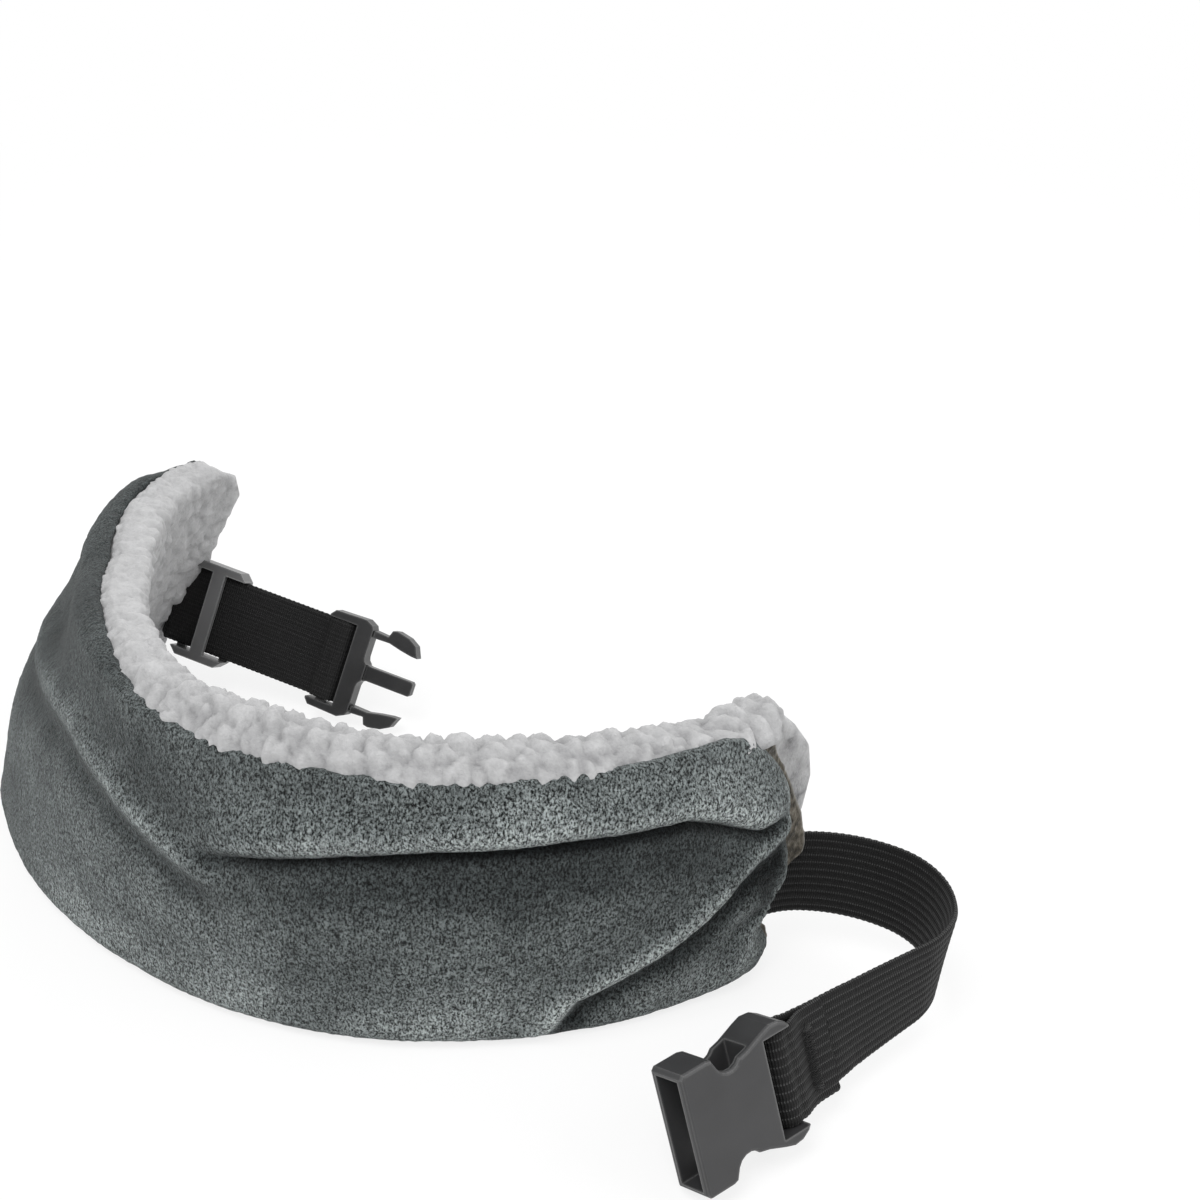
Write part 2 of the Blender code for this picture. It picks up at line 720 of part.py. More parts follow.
def make_socket(body, finish):
    """The socket half: a hollow shell with side windows, a strap slot and a bar."""
    thick = SOCKET_THICKNESS / 2
    socket = outline_solid("female_buckle", socket_outline(), -thick, thick, finish, body)
    rounding = socket.modifiers.new("rounding", "BEVEL")
    rounding.width = EDGE_BEVEL * 1.6 * MM
    rounding.segments = 2
    rounding.limit_method = "ANGLE"
    rounding.angle_limit = math.radians(50)
    past = 20.0
    hollow = thick - SOCKET_WALL
    side = socket_width() / 2 - SOCKET_WALL
    slot_side = ELASTIC_WIDTH / 2 + CHEEK_CLEARANCE
    slot_start = bar = BUCKLE_BAR_HALF
    cut_box(socket, (SOCKET_REACH - SOCKET_DEPTH, -hollow, -side), (SOCKET_REACH + past, hollow, side))
    cut_box(socket, (slot_start, -past, -slot_side), (slot_start + SOCKET_SLOT, past, slot_side))
    for low, high in ((bar, past), (-past, -bar)):
        cut_box(socket, (-past, low, -slot_side), (slot_start + SOCKET_SLOT - 0.5, high, slot_side))
    cut_box(socket, (-past, -past, -slot_side), (-bar, past, slot_side))
    return socket


def plug_width():
    """The plug's full width: the webbing, its clearance and a rail on each side."""
    return WEBBING_WIDTH + 2 * CHEEK_CLEARANCE + 2 * PLUG_FRAME


def plug_bridge():
    """Where the bridge of the plug begins and ends along X."""
    start = BUCKLE_BAR_HALF + PLUG_SLOT
    return start, start + PLUG_BRIDGE


def make_plug(body, finish):
    """The plug half without its arms: a strap frame, a bridge and the centre guide."""
    half = plug_width() / 2
    start, end = plug_bridge()
    prong = PRONG_WIDTH / 2
    upper = [(-4.4, half - 1.6), (-3.0, half), (end - 3.0, half + 0.4), (end - 0.6, half - 0.8), (end, half - 2.0)]
    upper += [(end, prong + 2.4)]
    upper += arc((end + 2.4, prong + 2.4), 2.4, 180, 270, 3)[1:]
    upper += [(end + PLUG_PRONG - 0.6, prong), (end + PLUG_PRONG, prong - 0.6)]
    lower = [(x, -z) for x, z in reversed(upper)]
    thick = PLUG_THICKNESS / 2
    plug = outline_solid("male_buckle", upper + lower, -thick, thick, finish, body)
    past = 30.0
    slot_side = WEBBING_WIDTH / 2 + CHEEK_CLEARANCE
    bar = BUCKLE_BAR_HALF
    cut_box(plug, (bar, -past, -slot_side), (start, past, slot_side))
    cut_box(plug, (-past, -past, -slot_side), (-bar, past, slot_side))
    for low, high in ((bar, past), (-past, -bar)):
        cut_box(plug, (-past, low, -slot_side), (start - 0.5, high, slot_side))
    thin = PRONG_THICKNESS / 2
    for low, high in ((thin, past), (-past, -thin)):
        cut_box(plug, (end + 1.2, low, -past), (past + PLUG_PRONG, high, past))
    return plug


def arm_outline():
    """A latch arm in X and Z from its root: a thin neck, then a barb that tapers to the tip."""
    tip = ARM_REACH
    notch = ARM_REACH * 0.36
    outer = ARM_NECK / 2 + ARM_BARB * 0.42
    inner = -ARM_NECK / 2 - ARM_BARB * 0.26
    return [
        (0.0, -ARM_NECK / 2 - 0.5),
        (0.0, ARM_NECK / 2),
        (notch * 0.85, ARM_NECK / 2 - 0.3),
        (notch, outer),
        (notch + 1.6, outer + 0.3),
        (tip * 0.72, outer - 0.5),
        (tip * 0.9, outer * 0.25),
        (tip, inner * 1.35),
        (tip * 0.86, inner * 1.3),
        (tip * 0.62, inner),
        (notch, -ARM_NECK / 2 - 0.3),
    ]


def make_arm(name, body, side, finish):
    """One of the plug's two spring arms."""
    outline = [(x, z * side) for x, z in arm_outline()]
    if side < 0:
        outline.reverse()
    thick = ARM_THICKNESS / 2
    return outline_solid(name, outline, -thick, thick, finish, body)


def make_slider(body, finish):
    """The slider: two rails, two end bars under the webbing and a middle bar over it."""
    layers = WEBBING_WALL + LAYER_GAP / 2 + SLIDER_CLEARANCE
    over, under = layers + SLIDER_BAR_WALL, -layers - SLIDER_BAR_WALL
    inside = WEBBING_WIDTH / 2 + CHEEK_CLEARANCE
    half = inside + SLIDER_RAIL
    end = SLIDER_LENGTH / 2
    corner = 2.2
    outline = [
        (-end, corner - half), (-end + corner, -half), (end - corner, -half), (end, corner - half),
        (end, half - corner), (end - corner, half), (-end + corner, half), (-end, half - corner),
    ]
    slider = outline_solid("slider", outline, under, over, finish, body)
    past = 30.0
    bar = SLIDER_BAR_WIDTH / 2
    cut_box(slider, (-past, -layers, -inside), (past, layers, inside))
    for low, high in ((-past, -bar), (bar, past)):
        cut_box(slider, (low, -past, -inside), (high, 0.0, inside))
    cut_box(slider, (-end + SLIDER_END_BAR, 0.0, -inside), (end - SLIDER_END_BAR, past, inside))
    return slider


# --- bodies ----------------------------------------------------------------------------------


def make_pivots():
    """One empty on each joint's axis, in a tree like the joints'."""
    upright = Vector((0.0, 0.0, 1.0))
    root = pivot("pad_assembly", Matrix.Identity(4))
    bodies = {"pad_right": root}

    middle, _, out = pad_station(MIDDLE)
    flex = frame_of(middle + out * FLEX_AXIS_OUT, out, upright)
    bodies["pad_left"] = pivot("pad_flex_pivot", flex, root)

    centres, widths = elastic_path()
    along = (centres[1] - centres[0]).normalized()
    exit_frame = frame_of(centres[0] + along * HINGE_OUT, along, widths[0])
    bodies["long_strap"] = pivot("long_strap_pivot", exit_frame, root)
    fold = elastic_fold_index(centres)
    turned = centres[fold + 1] - centres[fold - 1]
    bodies["strap_end"] = pivot("strap_end_pivot", frame_of(centres[fold], turned, widths[fold]),
                                bodies["long_strap"])
    bar = strap_end_frame(centres, widths)
    turned = Matrix.Rotation(math.radians(-SOCKET_SWING), 4, "Z")
    bodies["female_buckle"] = pivot("female_buckle_pivot", bar @ turned, bodies["strap_end"])

    strap = webbing_frame()
    bodies["short_strap"] = pivot("short_strap_pivot", strap, bodies["pad_left"])
    slider_at = strap @ Matrix.Translation((SLIDER_START + SLIDER_LENGTH / 2, 0.0, 0.0))
    bodies["slider"] = pivot("slider_pivot", slider_at, bodies["short_strap"])
    plug = strap @ Matrix.Translation((WEBBING_REACH, 0.0, 0.0))
    bodies["male_buckle"] = pivot("male_buckle_pivot", plug, bodies["short_strap"])
    end = plug_bridge()[1]
    for name, side in (("latch_arm_upper", 1), ("latch_arm_lower", -1)):
        root_z = side * (plug_width() / 2 - 2.0 - ARM_NECK / 2)
        at = plug @ Matrix.Translation((end + ARM_GAP, 0.0, root_z))
        bodies[name] = pivot(f"{name}_pivot", at, bodies["male_buckle"])
    return bodies


def make_finishes():
    """One material for each kind of surface."""
    return {
        "velvet": material("velvet", (0.10, 0.125, 0.13), 0.85),
        "sherpa": material("sherpa", (0.58, 0.58, 0.59), 0.95),
        "padding": material("padding", (0.82, 0.82, 0.80), 0.95),
        "binding": material("binding", (0.15, 0.14, 0.11), 0.9),
        "elastic": material("elastic", (0.018, 0.018, 0.018), 0.8),
        "thread": material("thread", (0.022, 0.022, 0.022), 0.7),
        "buckle": material("buckle_plastic", (0.035, 0.035, 0.035), 0.4),
        "slider": material("slider_plastic", (0.09, 0.09, 0.09), 0.4),
    }


def centre_on_origin(root):
    """Moves the whole so that its box stands centred on the origin."""
    bpy.context.view_layer.update()
    graph = bpy.context.evaluated_depsgraph_get()
    corners = []
    for made in bpy.data.objects:
        if made.type in ("MESH", "CURVE") and not made.hide_render:
            shape = made.evaluated_get(graph)
            mesh = shape.to_mesh()
            corners += [shape.matrix_world @ vertex.co for vertex in mesh.vertices]
            shape.to_mesh_clear()
    low = [min(corner[axis] for corner in corners) for axis in range(3)]
    high = [max(corner[axis] for corner in corners) for axis in range(3)]
    root.location = (-(low[0] + high[0]) / 2, -(low[1] + high[1]) / 2, -low[2])


def main():
    for made in list(bpy.data.objects):
        bpy.data.objects.remove(made)
    finishes = make_finishes()
    bodies = make_pivots()
    make_pad(0, bodies["pad_right"], finishes)
    make_pad(1, bodies["pad_left"], finishes)
    make_binding(finishes["binding"], bodies["pad_right"])
    make_elastic(bodies, finishes["elastic"], finishes["thread"])
    make_webbing(bodies, finishes["elastic"])
    make_socket(bodies["female_buckle"], finishes["buckle"])
    make_plug(bodies["male_buckle"], finishes["buckle"])
    make_arm("latch_arm_upper", bodies["latch_arm_upper"], 1, finishes["buckle"])
    make_arm("latch_arm_lower", bodies["latch_arm_lower"], -1, finishes["buckle"])
    make_slider(bodies["slider"], finishes["slider"])
    centre_on_origin(bodies["pad_right"])


main()
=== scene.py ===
"""The looks of a strap-on padded band: crystal plush outside, curly fleece inside.

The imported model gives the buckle, the plug, its arms, the slider and the sewn thread.
Everything of cloth is rebuilt here on the model's own curves, in millimetres and degrees.
"""

import math

import bpy
import numpy as np
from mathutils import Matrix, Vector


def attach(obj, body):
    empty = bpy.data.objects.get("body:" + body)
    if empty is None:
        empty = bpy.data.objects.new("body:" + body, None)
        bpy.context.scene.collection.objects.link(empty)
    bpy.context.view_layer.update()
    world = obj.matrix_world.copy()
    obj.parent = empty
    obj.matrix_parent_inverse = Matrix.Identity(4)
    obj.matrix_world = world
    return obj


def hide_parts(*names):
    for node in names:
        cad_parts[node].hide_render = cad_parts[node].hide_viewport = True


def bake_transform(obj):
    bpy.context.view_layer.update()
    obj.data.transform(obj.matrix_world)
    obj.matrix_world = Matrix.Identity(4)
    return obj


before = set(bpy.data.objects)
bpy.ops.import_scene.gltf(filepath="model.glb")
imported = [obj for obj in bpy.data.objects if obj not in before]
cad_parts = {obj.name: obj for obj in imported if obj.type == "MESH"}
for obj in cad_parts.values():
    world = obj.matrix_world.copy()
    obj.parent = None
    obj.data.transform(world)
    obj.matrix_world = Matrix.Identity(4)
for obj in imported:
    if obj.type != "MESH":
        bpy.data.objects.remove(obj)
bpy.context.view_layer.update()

MM = 0.001
SHIFT = np.array([11.839, -32.937, 0.0])  # from the pad's own origin to the model's
UP = np.array([0.0, 0.0, 1.0])

# The pad, as in the model
PAD_LENGTH = 357.0
PAD_HEIGHT = 80.0
PAD_THICKNESS = 18.0
PAD_TURN = 176.0
PAD_BENDING = (0.83, 0.82, 0.88, 0.66, 1.45)
PAD_LEAN = (0.0, 0.0, 6.5, 24.0, 23.0)
PAD_BULGE = 3.5
PAD_HEADING = 220.8
PAD_START = (75.0, -11.0)
OUTER_FOOT = 6.0
INNER_FOOT = 5.5
SEAM_ACROSS = 0.55 * PAD_THICKNESS
ROLL_RISE = 6.0
ROLL_TUCK = 2.0

# The straps, as in the model
STRAP_WIDTH = 25.0
ELASTIC_WALL = 1.5
ELASTIC_EXIT_HEIGHT = 27.0
ELASTIC_ACROSS = 6.0
ELASTIC_BEND = ((14.0, 38.0), (23.0, 32.0), (41.0, 118.0), (47.5, -5.0))
ELASTIC_DROP = 8.0
ELASTIC_LEAN = (0.0, -3.0, -6.0, 8.0, 22.0)
ELASTIC_ROOT = 9.0
FOLD_BACK = 16.5
FOLD_START = 24.0
LAYER_GAP = 0.4
HINGE_OUT = 4.0
WEBBING_WALL = 1.2
WEBBING_EXIT_HEIGHT = 32.0
WEBBING_ACROSS = 6.0
WEBBING_ROOT = 4.0
WEBBING_ROOT_DEPTH = 12.9
WEBBING_ROOT_RADIUS = 5.0
WEBBING_CLEAR = 11.0
WEBBING_REACH = 55.5
WEBBING_HEADING = -23.0
WEBBING_SLOPE = 9.3
WEBBING_LEAN = 28.0
WEBBING_TAIL = 49.5
BAR_RADIUS = 2.1
BAR_CLEARANCE = 0.45

# How the straps are woven: ribs across the width, and how deep they are
ELASTIC_RIBS = 11
ELASTIC_RIB_DEPTH = 0.22
WEBBING_RIBS = 14
WEBBING_RIB_DEPTH = 0.1

# The camera and the edges of the hard pieces, in metres
CAMERA_ELEVATION = 36.0  # degrees
CAMERA_DISTANCE = 0.5128
EDGE_WIDTH = 0.00045
STITCH_RAISE = 0.00035

# The studio: the floor, in metres, is the surround's white from FLOOR_FADE outward
WORLD_LIGHT = 0.62
FLOOR_RADIUS = 9.0
FLOOR_GLOW = 0.80
FLOOR_FADE = 0.7


# --- numbers -----------------------------------------------------------------------------------


def spread(values, share):
    """Values at shares from 0 to 1 along evenly spaced ones."""
    return np.interp(share, np.linspace(0.0, 1.0, len(values)), values)


def ease(share):
    """A smooth step from 0 to 1."""
    share = np.clip(share, 0.0, 1.0)
    return share * share * (3.0 - 2.0 * share)


def bump(value, width):
    """A rounded bump of height 1 at 0."""
    return np.exp(-((value / width) ** 2))


def unit(vectors):
    return vectors / np.linalg.norm(vectors, axis=-1, keepdims=True)


def plan(degrees):
    """Plan directions at angles from +X."""
    angle = np.radians(degrees)
    return np.stack([np.cos(angle), np.sin(angle), np.zeros_like(angle)], -1)


def noise(points, size, seed):
    """Smooth noise from -1 to 1 with features of about one size, at points of any shape."""
    table = np.random.default_rng(seed).uniform(-1.0, 1.0, 4096)
    scaled = np.asarray(points, float) / size + 200.0
    cell = np.floor(scaled).astype(np.int64)
    part = ease(scaled - cell)
    total = 0.0
    for dx in (0, 1):
        for dy in (0, 1):
            for dz in (0, 1):
                key = (cell[..., 0] + dx) * 73856093 ^ (cell[..., 1] + dy) * 19349663
                key ^= (cell[..., 2] + dz) * 83492791
                weight = np.abs(1 - dx - part[..., 0]) * np.abs(1 - dy - part[..., 1])
                total = total + table[key & 4095] * weight * np.abs(1 - dz - part[..., 2])
    return total


def nearest_cells(points, seeds, chunk=4000):
    """The distances to the nearest and second nearest seed, and which is nearest."""
    first, second, which = [], [], []
    for start in range(0, len(points), chunk):
        part = points[start:start + chunk]
        apart = ((part[:, None, :] - seeds[None, :, :]) ** 2).sum(-1)
        two = np.argpartition(apart, 1, axis=1)[:, :2]
        near = np.take_along_axis(apart, two, 1)
        order = np.argsort(near, axis=1)
        near = np.take_along_axis(near, order, 1)
        which.append(np.take_along_axis(two, order, 1)[:, 0])
        first.append(np.sqrt(near[:, 0]))
        second.append(np.sqrt(near[:, 1]))
    return np.concatenate(first), np.concatenate(second), np.concatenate(which)


def walk(start, heading, length, bend_at, step=1.0):
    """Plan points and headings along a path whose bend per millimetre is bend_at(distance)."""
    steps = int(round(length / step))
    size = length / steps
    bends = np.array([bend_at((index + 0.5) * size) for index in range(steps)]) * size
    headings = heading - np.concatenate([[0.0], np.cumsum(bends)])
    moves = plan((headings[1:] + headings[:-1]) / 2) * size
    places = np.vstack([np.zeros(3), np.cumsum(moves, axis=0)])
    return places + np.array([start[0], start[1], 0.0]), headings


# --- the shape of the pad ----------------------------------------------------------------------


def pad_bend(distance):
    """How many degrees the pad turns in a millimetre, at a distance from its right end."""
    mean = sum((a + b) / 2 for a, b in zip(PAD_BENDING, PAD_BENDING[1:])) / (len(PAD_BENDING) - 1)
    return PAD_TURN / PAD_LENGTH * spread(PAD_BENDING, distance / PAD_LENGTH) / mean


PAD_PLACES, PAD_HEADINGS = walk(PAD_START, PAD_HEADING, PAD_LENGTH, pad_bend)


def pad_point(along, across, height):
    """Points of the pad: along from its right end, inward from its outer face, up from the floor."""
    along, across, height = np.broadcast_arrays(np.asarray(along, float), across, height)
    inside = np.clip(along, 0.0, PAD_LENGTH)
    marks = np.linspace(0.0, PAD_LENGTH, len(PAD_PLACES))
    heading = np.interp(inside, marks, PAD_HEADINGS)
    place = np.stack([np.interp(inside, marks, PAD_PLACES[:, axis]) for axis in range(3)], -1)
    place = place + plan(heading) * (along - inside)[..., None]
    lean = np.radians(spread(PAD_LEAN, inside / PAD_LENGTH))
    sideways = (PAD_HEIGHT / 2 - height) * np.sin(lean) - across
    place = place + plan(heading + 90) * sideways[..., None] + UP * (height * np.cos(lean))[..., None]
    return place + SHIFT


def end_point(side, out, across, height):
    """A point beside an end of the pad: out is the distance beyond it."""
    return pad_point(-out if side == 0 else PAD_LENGTH + out, across, height)


def bulge(height):
    """How far the outer face stands out at a height."""
    share = np.clip((height - OUTER_FOOT) / (PAD_HEIGHT - OUTER_FOOT), 0.0, 1.0)
    return PAD_BULGE * np.sin(math.pi * share)


# --- meshes ------------------------------------------------------------------------------------


def grid_normals(grid):
    """Unit normals of a grid of points."""
    along = np.gradient(grid, axis=0)
    across = np.gradient(grid, axis=1)
    return unit(np.cross(along, across))


def rim(count, spacing, reach):
    """From 0 at both ends of a row of stations to 1 a reach inside them, as a quarter circle rises."""
    near = np.minimum(np.arange(count), np.arange(count)[::-1]) * spacing / reach
    return np.sqrt(1.0 - (1.0 - np.clip(near, 0.0, 1.0)) ** 2)


def shell(name, middle, front, back, normals, values):
    """A closed skin on a grid of middle points: front and back are its offsets, 0 along the rim."""
    rows, columns = middle.shape[:2]
    border = np.zeros((rows, columns), bool)
    border[0] = border[-1] = True
    border[:, 0] = border[:, -1] = True
    ahead = np.arange(rows * columns).reshape(rows, columns)
    behind = ahead.copy()
    behind[~border] = rows * columns + np.arange((~border).sum())
    points = np.concatenate([
        (middle + normals * front[..., None]).reshape(-1, 3),
        (middle - normals * back[..., None])[~border],
    ])

    def quads(index):
        return np.stack([index[:-1, :-1], index[1:, :-1], index[1:, 1:], index[:-1, 1:]], -1).reshape(-1, 4)

    faces = np.concatenate([quads(ahead), quads(behind)[:, ::-1]])
    made = mesh_piece(name, points, faces.tolist())
    for key, value in values.items():
        both = np.concatenate([value.reshape(-1, *value.shape[2:]), value[~border]])
        add_values(made, key, both)
    return made


def mesh_piece(name, points, faces):
    """A smooth-shaded object from points in millimetres."""
    mesh = bpy.data.meshes.new(name)
    mesh.from_pydata((points * MM).tolist(), [], faces)
    mesh.shade_smooth()
    made = bpy.data.objects.new(name, mesh)
    bpy.context.scene.collection.objects.link(made)
    return made


def add_values(made, key, values):
    """A named value, or three, at each point of a mesh, for its material to read."""
    kind = "FLOAT_VECTOR" if values.ndim == 2 else "FLOAT"
    held = made.data.attributes.new(key, kind, "POINT")
    held.data.foreach_set("vector" if values.ndim == 2 else "value", values.astype(np.float32).ravel())


# --- the plush ---------------------------------------------------------------------------------

# Folds of the outer face, as (along, height) from its right end: where each one runs
MAIN_CREASE = ((158, 50), (155, 52), (134, 57), (113, 62), (93, 65), (60, 66), (31, 65), (21, 61), (8, 55))
LEFT_RIDGE = ((300, 50), (276, 54), (250, 58), (227, 62), (207, 63), (185, 58), (169, 52), (155, 47),
              (140, 42))
SLANT_RIDGE = ((72, 0), (66, 3), (59, 15), (48, 20), (36, 26), (26, 32), (16, 40), (9, 44), (-4, 50))
# How far the plush stands past the right end, as (height, distance)
END_REACH = ((0, -8), (4, -5), (8, -2), (12, -3), (16, -6.5), (20, -7), (25, -4), (34, -0.5), (45, -1.5),
             (57, -3), (64, -4.5), (70, -7), (76, -11), (82, -16))
END_RADIUS = 6.0
END_WRAP = 7.2
LEFT_RADIUS = 6.9  # of the half-round that closes the left end
LEFT_WRAP = 19.5
LEFT_SETBACK = 4.5


def over_top(along):
    """0 where the plush stops at the top seam, rising to 1 where it reaches over the roll."""
    return ease((along - 150.0) / 80.0)


def resample(line, spacing, count=None):
    """A section line as evenly spaced points."""
    line = np.array(line, float)
    runs = np.concatenate([[0.0], np.cumsum(np.hypot(*np.diff(line, axis=0).T))])
    marks = np.linspace(0.0, runs[-1], count or int(runs[-1] / spacing))
    return np.stack([np.interp(marks, runs, line[:, axis]) for axis in range(2)], -1)


def run_of(line, along):
    """The height of a fold at distances along the pad."""
    line = sorted(line)
    return np.interp(along, [point[0] for point in line], [point[1] for point in line])


def slant_of(line, along, height):
    """Signed distance to a slanting fold: positive above and left of it."""
    best = np.full(along.shape, 1e9)
    signed = np.zeros(along.shape)
    for (x0, y0), (x1, y1) in zip(line, line[1:]):
        dx, dy = x1 - x0, y1 - y0
        share = np.clip(((along - x0) * dx + (height - y0) * dy) / (dx * dx + dy * dy), 0.0, 1.0)
        apart = np.hypot(along - x0 - share * dx, height - y0 - share * dy)
        side = np.sign(-(dx * (height - y0) - dy * (along - x0)))
        closer = apart < best
        signed = np.where(closer, apart * side, signed)
        best = np.minimum(best, apart)
    return signed


def folds(along, height):
    """How far the plush stands out, how far it sags, and its painted highlight and painted shade, on the
    outer face.
    """
    out = np.zeros(along.shape)
    sag = np.zeros(along.shape)
    painted_light_tone = np.zeros(along.shape)

    above = height - run_of(MAIN_CREASE, along)
    here = ease((160 - along) / 22) * ease((along + 8) / 14)
    deep = here * (0.65 + 0.35 * ease((150 - along) / 60))
    out += deep * (2.6 * bump(above - 4.5, 5.5) - 3.4 * bump(above + 1.6, 2.4) - 1.2 * bump(above + 7, 6))
    sag += deep * 1.7 * bump(above - 1.2, 3.2)
    # painted highlight on the lip above the main crease, painted shade just below it and in a wide band
    # further down
    painted_light_tone += deep * (0.55 * bump(above - 2.4, 2.6) - 1.0 * bump(above + 2.4, 2.8)
                    - 0.45 * bump(above + 10, 10))
    # painted highlight near the top, above the middle of the crease
    painted_light_tone += 0.32 * deep * bump(along - 68, 14) * bump(height - 74, 7)

    above = height - run_of(LEFT_RIDGE, along)
    here = ease((305 - along) / 40) * ease((along - 138) / 25)
    out += here * (1.7 * bump(above - 0.5, 4.6) - 1.4 * bump(above + 7, 5))
    # painted highlight along the left ridge, painted shade below it and in a wide band above it
    painted_light_tone += here * (0.45 * bump(above - 0.5, 3.6) - 0.45 * bump(above + 7, 6) - 0.34 * bump(above - 14, 12))
    # darker towards the left end
    painted_light_tone -= 0.42 * ease((along - 185) / 70)
    here = ease((along - 215) / 50) * ease((325 - along) / 50)
    inset = 2.6 * ease((above - 1.0) / 8.0) * ease((80 - height) / 10.0)
    out += here * (1.3 * bump(above + 20, 16) - inset)
    # painted highlight on the bulge below the left ridge
    painted_light_tone += here * 0.35 * bump(above + 24, 18)

    away = slant_of(SLANT_RIDGE, along, height)
    here = ease((80 - along) / 18) * ease((along + 8) / 10)
    out += here * (2.2 * bump(away - 1.5, 4.4) - 2.7 * bump(away + 5.0, 4.6))
    # painted highlight along the slanting ridge, painted shade in the dip below it
    painted_light_tone += here * (0.75 * bump(away - 1.0, 3.2) - 0.85 * bump(away + 5.5, 4.2))

    # the pull of the sewn strap: a dent beside it, and short pleats that fan out from it
    fan = np.degrees(np.arctan2(height - 27.0, along + 4.0))
    near = bump(np.hypot(along, (height - 27.0) * 0.7), 24)
    out += near * (0.7 * np.sin(np.radians(fan * 6.0 + 40)) - 1.2 * bump(height - 27, 12))
    # painted light and painted shade that follow the pleats
    painted_light_tone += near * 0.22 * np.sin(np.radians(fan * 6.0 + 60))
    out += 1.3 * bump(along - 8, 12) * bump(height - 9, 7)
    # painted highlight along the right end's hem, and painted shade just inside it beside the strap
    painted_light_tone += 0.5 * bump(along + 3.5, 2.2) * ease((height - 18) / 6) * ease((66 - height) / 8)
    painted_light_tone -= 0.5 * bump(along - 2.5, 3.5) * ease((height - 22) / 6) * ease((52 - height) / 8)
    # painted highlight near the top and along the foot
    painted_light_tone += 0.28 * bump(along - 30, 26) * bump(height - 73, 8) + 0.25 * bump(height - 8, 9)
    return out, sag, painted_light_tone


def make_velvet():
    """The plush: one skin from the bottom seam round the foot, up the face and round the right end."""
    spacing = 0.85
    foot = [(SEAM_ACROSS, 0.0)]
    for angle in np.linspace(270, 180, 9):
        foot.append((OUTER_FOOT + OUTER_FOOT * math.cos(math.radians(angle)),
                     OUTER_FOOT + OUTER_FOOT * math.sin(math.radians(angle))))
    face = [(-float(bulge(height)), height) for height in np.linspace(OUTER_FOOT, PAD_HEIGHT, 40)[1:]]
    # how the top edge ends: tucked in at the seam, or drawn over the roll
    low_tuck = [(-0.1, 80.0), (0.7, 80.9), (2.2, 81.0), (3.4, 80.0), (3.8, 78.6)]
    high_tuck = [(-0.1, 80.0), (0.6, 82.8), (2.6, 84.8), (5.4, 85.6), (7.4, 84.6), (7.6, 83.0)]
    skirt = resample(foot + face, spacing)
    low, high = (np.vstack([skirt[:-1], resample(tuck, 0.8, 13)]) for tuck in (low_tuck, high_tuck))
    total = END_WRAP + PAD_LENGTH + LEFT_WRAP
    along = np.linspace(-END_WRAP, PAD_LENGTH + LEFT_WRAP, int(total / spacing))
    crown = over_top(along)[:, None]
    across = low[None, :, 0] * (1 - crown) + high[None, :, 0] * crown
    height = low[None, :, 1] * (1 - crown) + high[None, :, 1] * crown
    along = np.broadcast_to(along[:, None], height.shape).copy()

    on_face = ease((6.0 - across) / 6.0 + ease(12 - height))
    on_face = ease(height / 7.0) * ease((82.5 - height) / 3.0) * on_face
    out, sag, painted_light_tone = folds(np.maximum(along, -4.0), height)
    reach = sum(np.interp(height + step, *zip(*END_REACH)) for step in (-2.5, -1.0, 1.0, 2.5)) / 4
    pulled = along - reach * ease(1.0 - np.maximum(along, 0.0) / 26.0)

    # each end turns inward round a small radius, and its top corner drops a little
    turned = np.clip(-along, 0.0, END_WRAP) / END_RADIUS
    beyond = END_RADIUS * np.sin(turned) + reach
    placed = np.where(along < 0, -beyond, pulled)
    inward = np.where(along < 0, END_RADIUS * (1 - np.cos(turned)), 0.0)
    turned = np.clip(along - PAD_LENGTH, 0.0, LEFT_WRAP) / LEFT_RADIUS
    placed = placed - LEFT_SETBACK * ease((along - PAD_LENGTH + 30.0) / 30.0)
    past = along > PAD_LENGTH
    placed = np.where(past, PAD_LENGTH - LEFT_SETBACK + LEFT_RADIUS * np.sin(turned), placed)
    height = height - 3.6 * ease((9.0 - along) / 18.0) * ease((height - 58.0) / 22.0)
    height = height - 4.5 * ease((along - PAD_LENGTH + 30.0) / 32.0) * ease((height - 58.0) / 22.0)
    room = (13.2 - np.maximum(across, 0.0)) / 13.2 * ease(height / 5.0)
    room = room * (0.3 + 0.7 * ease((84.0 - height) / 12.0))
    inward = np.where(past, LEFT_RADIUS * (1 - np.cos(turned)) * np.clip(room, 0.0, 1.0), inward)
    middle = pad_point(placed, across + inward, height - sag * on_face)
    normals = grid_normals(middle)
    if (normals[200, 60] @ plan(np.array(PAD_HEADINGS[192] + 90))) < 0:
        normals = -normals

    soft = 1.1 * noise(middle, 34.0, 11) + 0.45 * noise(middle, 12.0, 12) + 0.16 * noise(middle, 4.0, 13)
    grain = 0.16 * noise(middle, 1.5, 14)
    edge = 0.35 + 0.65 * ease((PAD_LENGTH - 2 - along) / 12)
    middle = middle + normals * ((out + 0.6 * soft * edge) * on_face - 0.8)[..., None]
    middle[..., 2] = np.maximum(middle[..., 2], 0.9)
    outward = normals[200, 60]
    normals = grid_normals(middle)
    if (normals[200, 60] @ outward) <= 0:
        normals = -normals
    thick = np.outer(rim(along.shape[0], spacing, 1.6), rim(along.shape[1], spacing, 1.6))
    # random mottle joins the painted highlight and painted shade of the folds; the material turns both into
    # colour
    painted_light_tone = painted_light_tone + 0.10 * noise(middle, 26.0, 15) + 0.08 * noise(middle, 7.0, 16)
    return shell("velvet_cover", middle, thick * (0.8 + grain), thick * 0.8, normals, {"painted_light_and_mottle": painted_light_tone})


# --- the fleece --------------------------------------------------------------------------------

